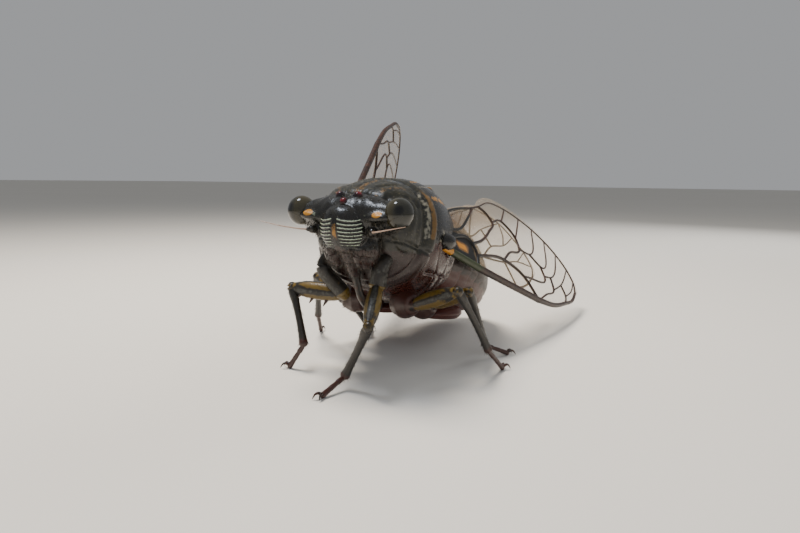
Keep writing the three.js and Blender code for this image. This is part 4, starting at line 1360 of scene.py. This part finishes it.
def new_tree(name, wanted, result):
    """A geometry tree with these inputs and one output, and its input sockets."""
    tree = bpy.data.node_groups.new(name, "GeometryNodeTree")
    for label, kind in wanted:
        tree.interface.new_socket(label, in_out="INPUT", socket_type="NodeSocket" + kind)
    tree.interface.new_socket(result, in_out="OUTPUT", socket_type="NodeSocketGeometry")
    return tree, add(tree, "NodeGroupInput", {}).outputs


def stored(tree, name, kind="FLOAT_VECTOR"):
    """What a mesh keeps under a name."""
    return add(tree, "GeometryNodeInputNamedAttribute", {"data_type": kind, "Name": name}).outputs["Attribute"]


def tube_tree():
    """Geometry Nodes: edges with a thickness become closed round tubes."""
    wanted = [("Veins", "Geometry"), ("Sides", "Int"), ("Finish", "Material")]
    tree, start = new_tree("vein_tubes", wanted, "Tubes")
    thick = stored(tree, "thick", "FLOAT")
    curve = add(tree, "GeometryNodeMeshToCurve", {}, {"Mesh": start["Veins"]})
    sized = add(tree, "GeometryNodeSetCurveRadius", {}, {"Curve": curve.outputs[0], "Radius": thick})
    ring = add(tree, "GeometryNodeCurvePrimitiveCircle", {"Radius": 1.0}, {"Resolution": start["Sides"]})
    links = {"Curve": sized.outputs[0], "Profile Curve": ring.outputs[0]}
    tube = add(tree, "GeometryNodeCurveToMesh", {"Fill Caps": True}, links)
    if "Scale" in tube.inputs:
        tree.links.new(thick, tube.inputs["Scale"])
    smooth = add(tree, "GeometryNodeSetShadeSmooth", {}, {"Geometry": tube.outputs[0]})
    real = add(tree, "GeometryNodeRealizeInstances", {}, {"Geometry": smooth.outputs[0]})
    links = {"Geometry": real.outputs[0], "Material": start["Finish"]}
    done = add(tree, "GeometryNodeSetMaterial", {}, links)
    add(tree, "NodeGroupOutput", {}, {"Tubes": done.outputs[0]})
    return tree


def through_nodes(source, tree, settings, name):
    """Runs a node tree on a piece and gives the result as a plain new object."""
    modifier = source.modifiers.new(tree.name, "NODES")
    modifier.node_group = tree
    for item in tree.interface.items_tree:
        if item.item_type == "SOCKET" and item.in_out == "INPUT" and item.name in settings:
            modifier[item.identifier] = settings[item.name]
    seen = source.evaluated_get(bpy.context.evaluated_depsgraph_get())
    mesh = bpy.data.meshes.new_from_object(seen)
    source.modifiers.remove(modifier)
    mesh.name = name
    return put(name, mesh)


vein_tree = tube_tree()


def vein_marks(wing, flat, is_costa):
    """Green at the base of the leading edge, an orange joint, black near the root, brown beyond."""
    s = flat[:, 0]
    near = np.clip((8.5 - s) / 3, 0, 1)
    joint = spot(np.column_stack([flat, 0 * s]), (0.5, 0.4, 0), (0.9, 0.9, 1))
    green = near * is_costa * (1 - joint)
    black = np.clip((11 - s) / 6, 0, 1) * (1 - green) * (1 - joint) * 0.9
    return channels(joint * is_costa, 0.85 * green, black, 0)


def build_veins(name, wing):
    places, edges, thick, marks = [], [], [], []
    plan = wing["plan"]
    rows = [(r[0], r[1], r[3]) for r in plan["edge"]] + list(plan["veins"])
    for k, (first, last, row) in enumerate(rows):
        flat = vein_line(plan, row)
        start = sum(map(len, places))
        places.append(stand_wing(wing, flat, np.zeros(len(flat))))
        edges += [(start + i, start + i + 1) for i in range(len(flat) - 1)]
        thick.append(np.linspace(first, last, len(flat)) * MM)
        marks.append(vein_marks(wing, flat, 1.0 if k < 2 else 0.0))
    mesh = bpy.data.meshes.new("vein_lines")
    mesh.from_pydata(world(np.concatenate(places)).tolist(), edges, [])
    layer = mesh.attributes.new("thick", "FLOAT", "POINT")
    layer.data.foreach_set("value", np.concatenate(thick).astype(np.float32))
    set_marks(mesh, np.concatenate(marks))
    lines = put("vein_lines", mesh)
    veins = through_nodes(lines, vein_tree, {"Sides": 10, "Finish": vein_finish}, name + "_veins")
    bpy.data.objects.remove(lines)
    return veins


# %% Film


def outline_of(plan):
    """The wing's outline: its edge veins, moved out by the film beyond them."""
    line, out = [], []
    for _, _, beyond, row in plan["edge"]:
        part = vein_line(plan, row, 0.3)[:-1]
        line.append(part)
        out.append(np.full(len(part), beyond))
    line, out = np.concatenate(line), np.concatenate(out)
    for _ in range(6):
        out = (np.roll(out, 1) + out + np.roll(out, -1)) / 3
    ahead = np.roll(line, -1, 0) - np.roll(line, 1, 0)
    ahead /= np.linalg.norm(ahead, axis=1)[:, None]
    turn_of = line[:, 0] * np.roll(line[:, 1], -1) - np.roll(line[:, 0], -1) * line[:, 1]
    sign = 1 if turn_of.sum() > 0 else -1
    return line + sign * out[:, None] * channels(ahead[:, 1], -ahead[:, 0])


def vein_distance(plan, flat):
    """How far each place is from the nearest vein."""
    rows = [r[3] for r in plan["edge"]] + [r[2] for r in plan["veins"]]
    knots = np.concatenate([vein_line(plan, row, 0.5) for row in rows])
    return np.min(np.linalg.norm(flat[:, None] - knots[None], axis=2), axis=1)


def film_marks(wing, flat):
    """Smoke along the fold and base, the black patch at the root of a fore wing and its orange spot."""
    s, t = flat.T
    place = np.column_stack([flat, 0 * s])
    fold = crease(place, (0.0, -3.0), (12.5, -9.6), 0.9) * (s < 14)
    smoke = np.clip(0.75 * np.clip((9 - s) / 8, 0, 1) + 0.6 * fold, 0, 1)
    black, orange = 0 * s, 0 * s
    if wing["plan"] is FORE:
        black = window(s, -2, 6.6, 0.7) * window(t, -2.9 - 0.05 * s, 3, 0.5)
        orange = spot(place, (3.9, -1.2, 0), (1.0, 0.55, 1), 0.3)
    return channels(smoke, black * (1 - orange), orange, 0)


def build_film(name, wing):
    plan = wing["plan"]
    outline = outline_of(plan)
    low, high = outline.min(0), outline.max(0)
    xs, ys = np.arange(low[0], high[0], 0.45), np.arange(low[1], high[1], 0.45)
    inner = np.array([(x + 0.2 * (j % 2), y) for j, y in enumerate(ys) for x in xs])
    border = np.min(np.linalg.norm(inner[:, None] - outline[None], axis=2), axis=1)
    inner = inner[border > 0.25]
    ring = list(range(len(outline)))
    cloud = [Vector(p) for p in np.concatenate([outline, inner])]
    flat, _, triangles, *_ = delaunay_2d_cdt(cloud, [], [ring], 1, 1e-5)
    flat = np.array([tuple(p) for p in flat])
    used = sorted({k for f in triangles for k in f})
    renumber = {k: i for i, k in enumerate(used)}
    flat = flat[used]
    triangles = [tuple(renumber[k] for k in f) for f in triangles]
    pillow = 0.1 * (1 - np.exp(-vein_distance(plan, flat) / 0.8)) - 0.05
    count = len(flat)
    sheets = [stand_wing(wing, flat, pillow + side * FILM_HALF) for side in (1, -1)]
    faces = list(triangles) + [tuple(k + count for k in f[::-1]) for f in triangles]
    edges = dict.fromkeys((f[k], f[(k + 1) % 3]) for f in triangles for k in range(3))
    faces += [(b, a, a + count, b + count) for a, b in edges if (b, a) not in edges]
    points = np.concatenate(sheets)
    marks = np.tile(film_marks(wing, flat), (2, 1))
    a, b, c = faces[0]
    up = np.cross(points[b] - points[a], points[c] - points[a])
    if up @ (sheets[0][a] - sheets[1][a]) < 0:
        faces = [f[::-1] for f in faces]
    return new_piece(name + "_film", points, faces, film_finish, marks)


# %% Wings on the body
for name, wing in WINGS.items():
    film = build_film(name, wing)
    keep(film, "wing", name)
    veins = build_veins(name, wing)
    keep(veins, "wing", name)
    size = 0.95 if wing["plan"] is FORE else 0.75
    root = (np.array(wing["root"]) + (0.1, 0.6, 0.2)) * (wing["side"], 1, 1)
    knuckle = dome(
        name + "_hinge",
        root,
        size * np.array([0.95, 1.5, 1.0]),
        back_chitin,
        lambda u: np.tile([0.22, 0.1, 0.1, 0.1], (len(u), 1)),
        20,
        28,
    )
    keep(knuckle, "wing")

# %% [markdown]
# ## Pile
# Sparse grey hairs lie close to the thorax and the abdomen. The face and the legs carry dark bristles that stand
# up a little more. Geometry Nodes scatter them: points on the skin, thicker where its pile value is high, and on
# each a thin three-sided spike turned along the lie of the coat. Each spike keeps a tiny patch at its root's place
# on the skin's unwrap, so that it can be painted on its own.

# %% Coat tree


def coat_tree():
    """Geometry Nodes: spikes on a skin, and each one's patch of the unwrap."""
    floats = ("Hairs per square mm", "Length", "Width", "Stand", "Patch")
    wanted = [("Skin", "Geometry")] + [(label, "Float") for label in floats]
    tree, start = new_tree("coat_of_hairs", wanted + [("Seed", "Int"), ("Finish", "Material")], "Coat")
    seed = {"Seed": start["Seed"]}
    per_metre = calc(tree, "MULTIPLY", start["Hairs per square mm"], 1 / MM**2)
    many = calc(tree, "MULTIPLY", per_metre, stored(tree, "pile", "FLOAT"))
    links = {"Mesh": start["Skin"], "Density": many} | seed
    roots = add(tree, "GeometryNodeDistributePointsOnFaces", {}, links).outputs

    def vector(links, operation="ADD"):
        return add(tree, "ShaderNodeVectorMath", {"operation": operation}, links).outputs[0]

    lift = vector({0: roots["Normal"], "Scale": start["Stand"]}, "SCALE")
    bounds = {"data_type": "FLOAT_VECTOR", 0: (-0.35, -0.35, -0.35), 1: (0.35, 0.35, 0.35)}
    stray = add(tree, "FunctionNodeRandomValue", bounds, seed).outputs[0]
    heading = vector({0: vector({0: stored(tree, "lie"), 1: lift}), 1: stray})
    turned_to = add(tree, "FunctionNodeAlignRotationToVector", {"axis": "Z"}, {"Vector": heading}).outputs[0]
    cone = {"Vertices": 3, "Side Segments": 2, "Radius Top": 0.02, "Radius Bottom": 0.5, "Depth": 1.0}
    spike = add(tree, "GeometryNodeMeshCone", cone).outputs["Mesh"]
    place = add(tree, "GeometryNodeInputPosition", {}).outputs[0]
    kept = {"data_type": "FLOAT_VECTOR", "Name": "own_place"}
    own = add(tree, "GeometryNodeStoreNamedAttribute", kept, {"Geometry": spike, "Value": place}).outputs[0]
    longer = add(tree, "FunctionNodeRandomValue", {"data_type": "FLOAT", 2: 0.6, 3: 1.3}, seed).outputs[1]
    length = calc(tree, "MULTIPLY", start["Length"], longer)
    size = add(tree, "ShaderNodeCombineXYZ", {}, {"X": start["Width"], "Y": start["Width"], "Z": length}).outputs[0]
    links = {"Points": roots["Points"], "Instance": own, "Rotation": turned_to, "Scale": size}
    planted = add(tree, "GeometryNodeInstanceOnPoints", {}, links).outputs[0]
    coat = add(tree, "GeometryNodeRealizeInstances", {}, {"Geometry": planted}).outputs[0]
    split = add(tree, "ShaderNodeSeparateXYZ", {}, {0: stored(tree, "own_place")}).outputs
    upright = add(tree, "ShaderNodeCombineXYZ", {}, {"X": split["X"], "Y": split["Z"]}).outputs[0]
    patch = vector({0: upright, "Scale": start["Patch"]}, "SCALE")
    on_map = vector({0: stored(tree, "unwrap"), 1: patch})
    kept = {"data_type": "FLOAT2", "domain": "CORNER", "Name": "OFBake"}
    coat = add(tree, "GeometryNodeStoreNamedAttribute", kept, {"Geometry": coat, "Value": on_map}).outputs[0]
    for word in ("own_place", "unwrap", "lie", "pile", "marks"):
        coat = add(tree, "GeometryNodeRemoveAttribute", {"Name": word}, {"Geometry": coat}).outputs[0]
    links = {"Geometry": coat, "Material": start["Finish"]}
    done = add(tree, "GeometryNodeSetMaterial", {}, links)
    add(tree, "NodeGroupOutput", {}, {"Coat": done.outputs[0]})
    return tree


hair_tree = coat_tree()
PATCH = 0.003  # the size of one hair's patch on the unwrap
COATS = [
    # skin, hairs per square mm, length, width, stand, finish, name, seed
    (head, 18, 0.5, 0.045, 0.6, bristle_finish, "face_bristles", 3),
    (head, 5, 0.38, 0.03, 0.4, pile_finish, "face_pile", 4),
    (pronotum, 10, 0.36, 0.028, 0.28, pile_finish, "first_ring_pile", 5),
    (mesothorax, 9, 0.4, 0.028, 0.28, pile_finish, "second_ring_pile", 6),
    (abdomen, 9, 0.38, 0.028, 0.25, pile_finish, "abdomen_pile", 7),
]
COATS += [(leg, 10, 0.4, 0.03, 0.5, bristle_finish, leg.name + "_pile", 20 + i) for i, leg in enumerate(legs)]
for skin, many, length, width, stand, finish, name, seed in COATS:
    sizes = {"Hairs per square mm": float(many), "Length": length * MM, "Width": width * MM, "Stand": stand}
    sizes |= {"Patch": PATCH, "Seed": seed, "Finish": finish}
    keep(through_nodes(skin, hair_tree, sizes, name), skin["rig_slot"])

# %% [markdown]
# ## Floor and light
# A plain pale floor and round soft lamps. The strongest comes from above its right shoulder, a little behind, so
# the back is lit and the belly stays dark. Only the small one near it shows in polished surfaces.

# %% Floor
floor_finish, tree = new_material("matt_white_board")
cloth = add(tree, "ShaderNodeTexNoise", {"Scale": 40.0, "Detail": 2.0}).outputs["Fac"]
surface(tree, {"Roughness": 0.85}, {"Base Color": mix(tree, cloth, "#C6C2BA", "#CCC9C2")})
FLOOR = 3000.0
corners = np.array([(-1, -1, 0), (1, -1, 0), (1, 1, 0), (-1, 1, 0)]) * FLOOR * MM
floor = new_piece("studio_floor", corners, [(0, 1, 2, 3)], floor_finish, in_world=True)
floor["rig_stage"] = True

# %% Lights


def soft_box(name, at, aim, size, power, colour, glints):
    """A round lamp. glints says whether it shows in polished surfaces."""
    lamp = bpy.data.lights.new(name, "AREA")
    lamp.shape = "DISK"
    lamp.size = size * MM
    lamp.energy = power
    lamp.color = linear(colour)[:3]
    box = put(name, lamp)
    box.location = Vector(at) * MM
    box.rotation_euler = (Vector(aim) - Vector(at)).to_track_quat("-Z", "Y").to_euler()
    box.visible_glossy = glints


soft_box("key_box", (-60, 10, 170), (0, -5, 10), 70, 0.62, "#FFF4E6", False)
soft_box("spark_box", (-50, -30, 175), (0, -5, 10), 45, 0.12, "#EAF2FF", True)
soft_box("fill_box", (150, -140, 90), (0, -5, 8), 160, 0.16, "#EAF1FF", False)
soft_box("back_box", (60, 190, 120), (0, 0, 12), 120, 0.25, "#FFFFFF", False)
room = bpy.data.worlds.new("studio_room")
room.use_nodes = True
sky = room.node_tree.nodes["Background"].inputs
sky["Color"].default_value = linear("#EDEFF2")
sky["Strength"].default_value = 0.42
bpy.context.scene.world = room

# %% Sizes
dressed_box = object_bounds()
sizes = {"cad": [list(c) for c in cad_box], "visual": [list(c) for c in dressed_box]}
print("dressed:", [round(v / MM, 1) for corner in dressed_box for v in corner], "mm")
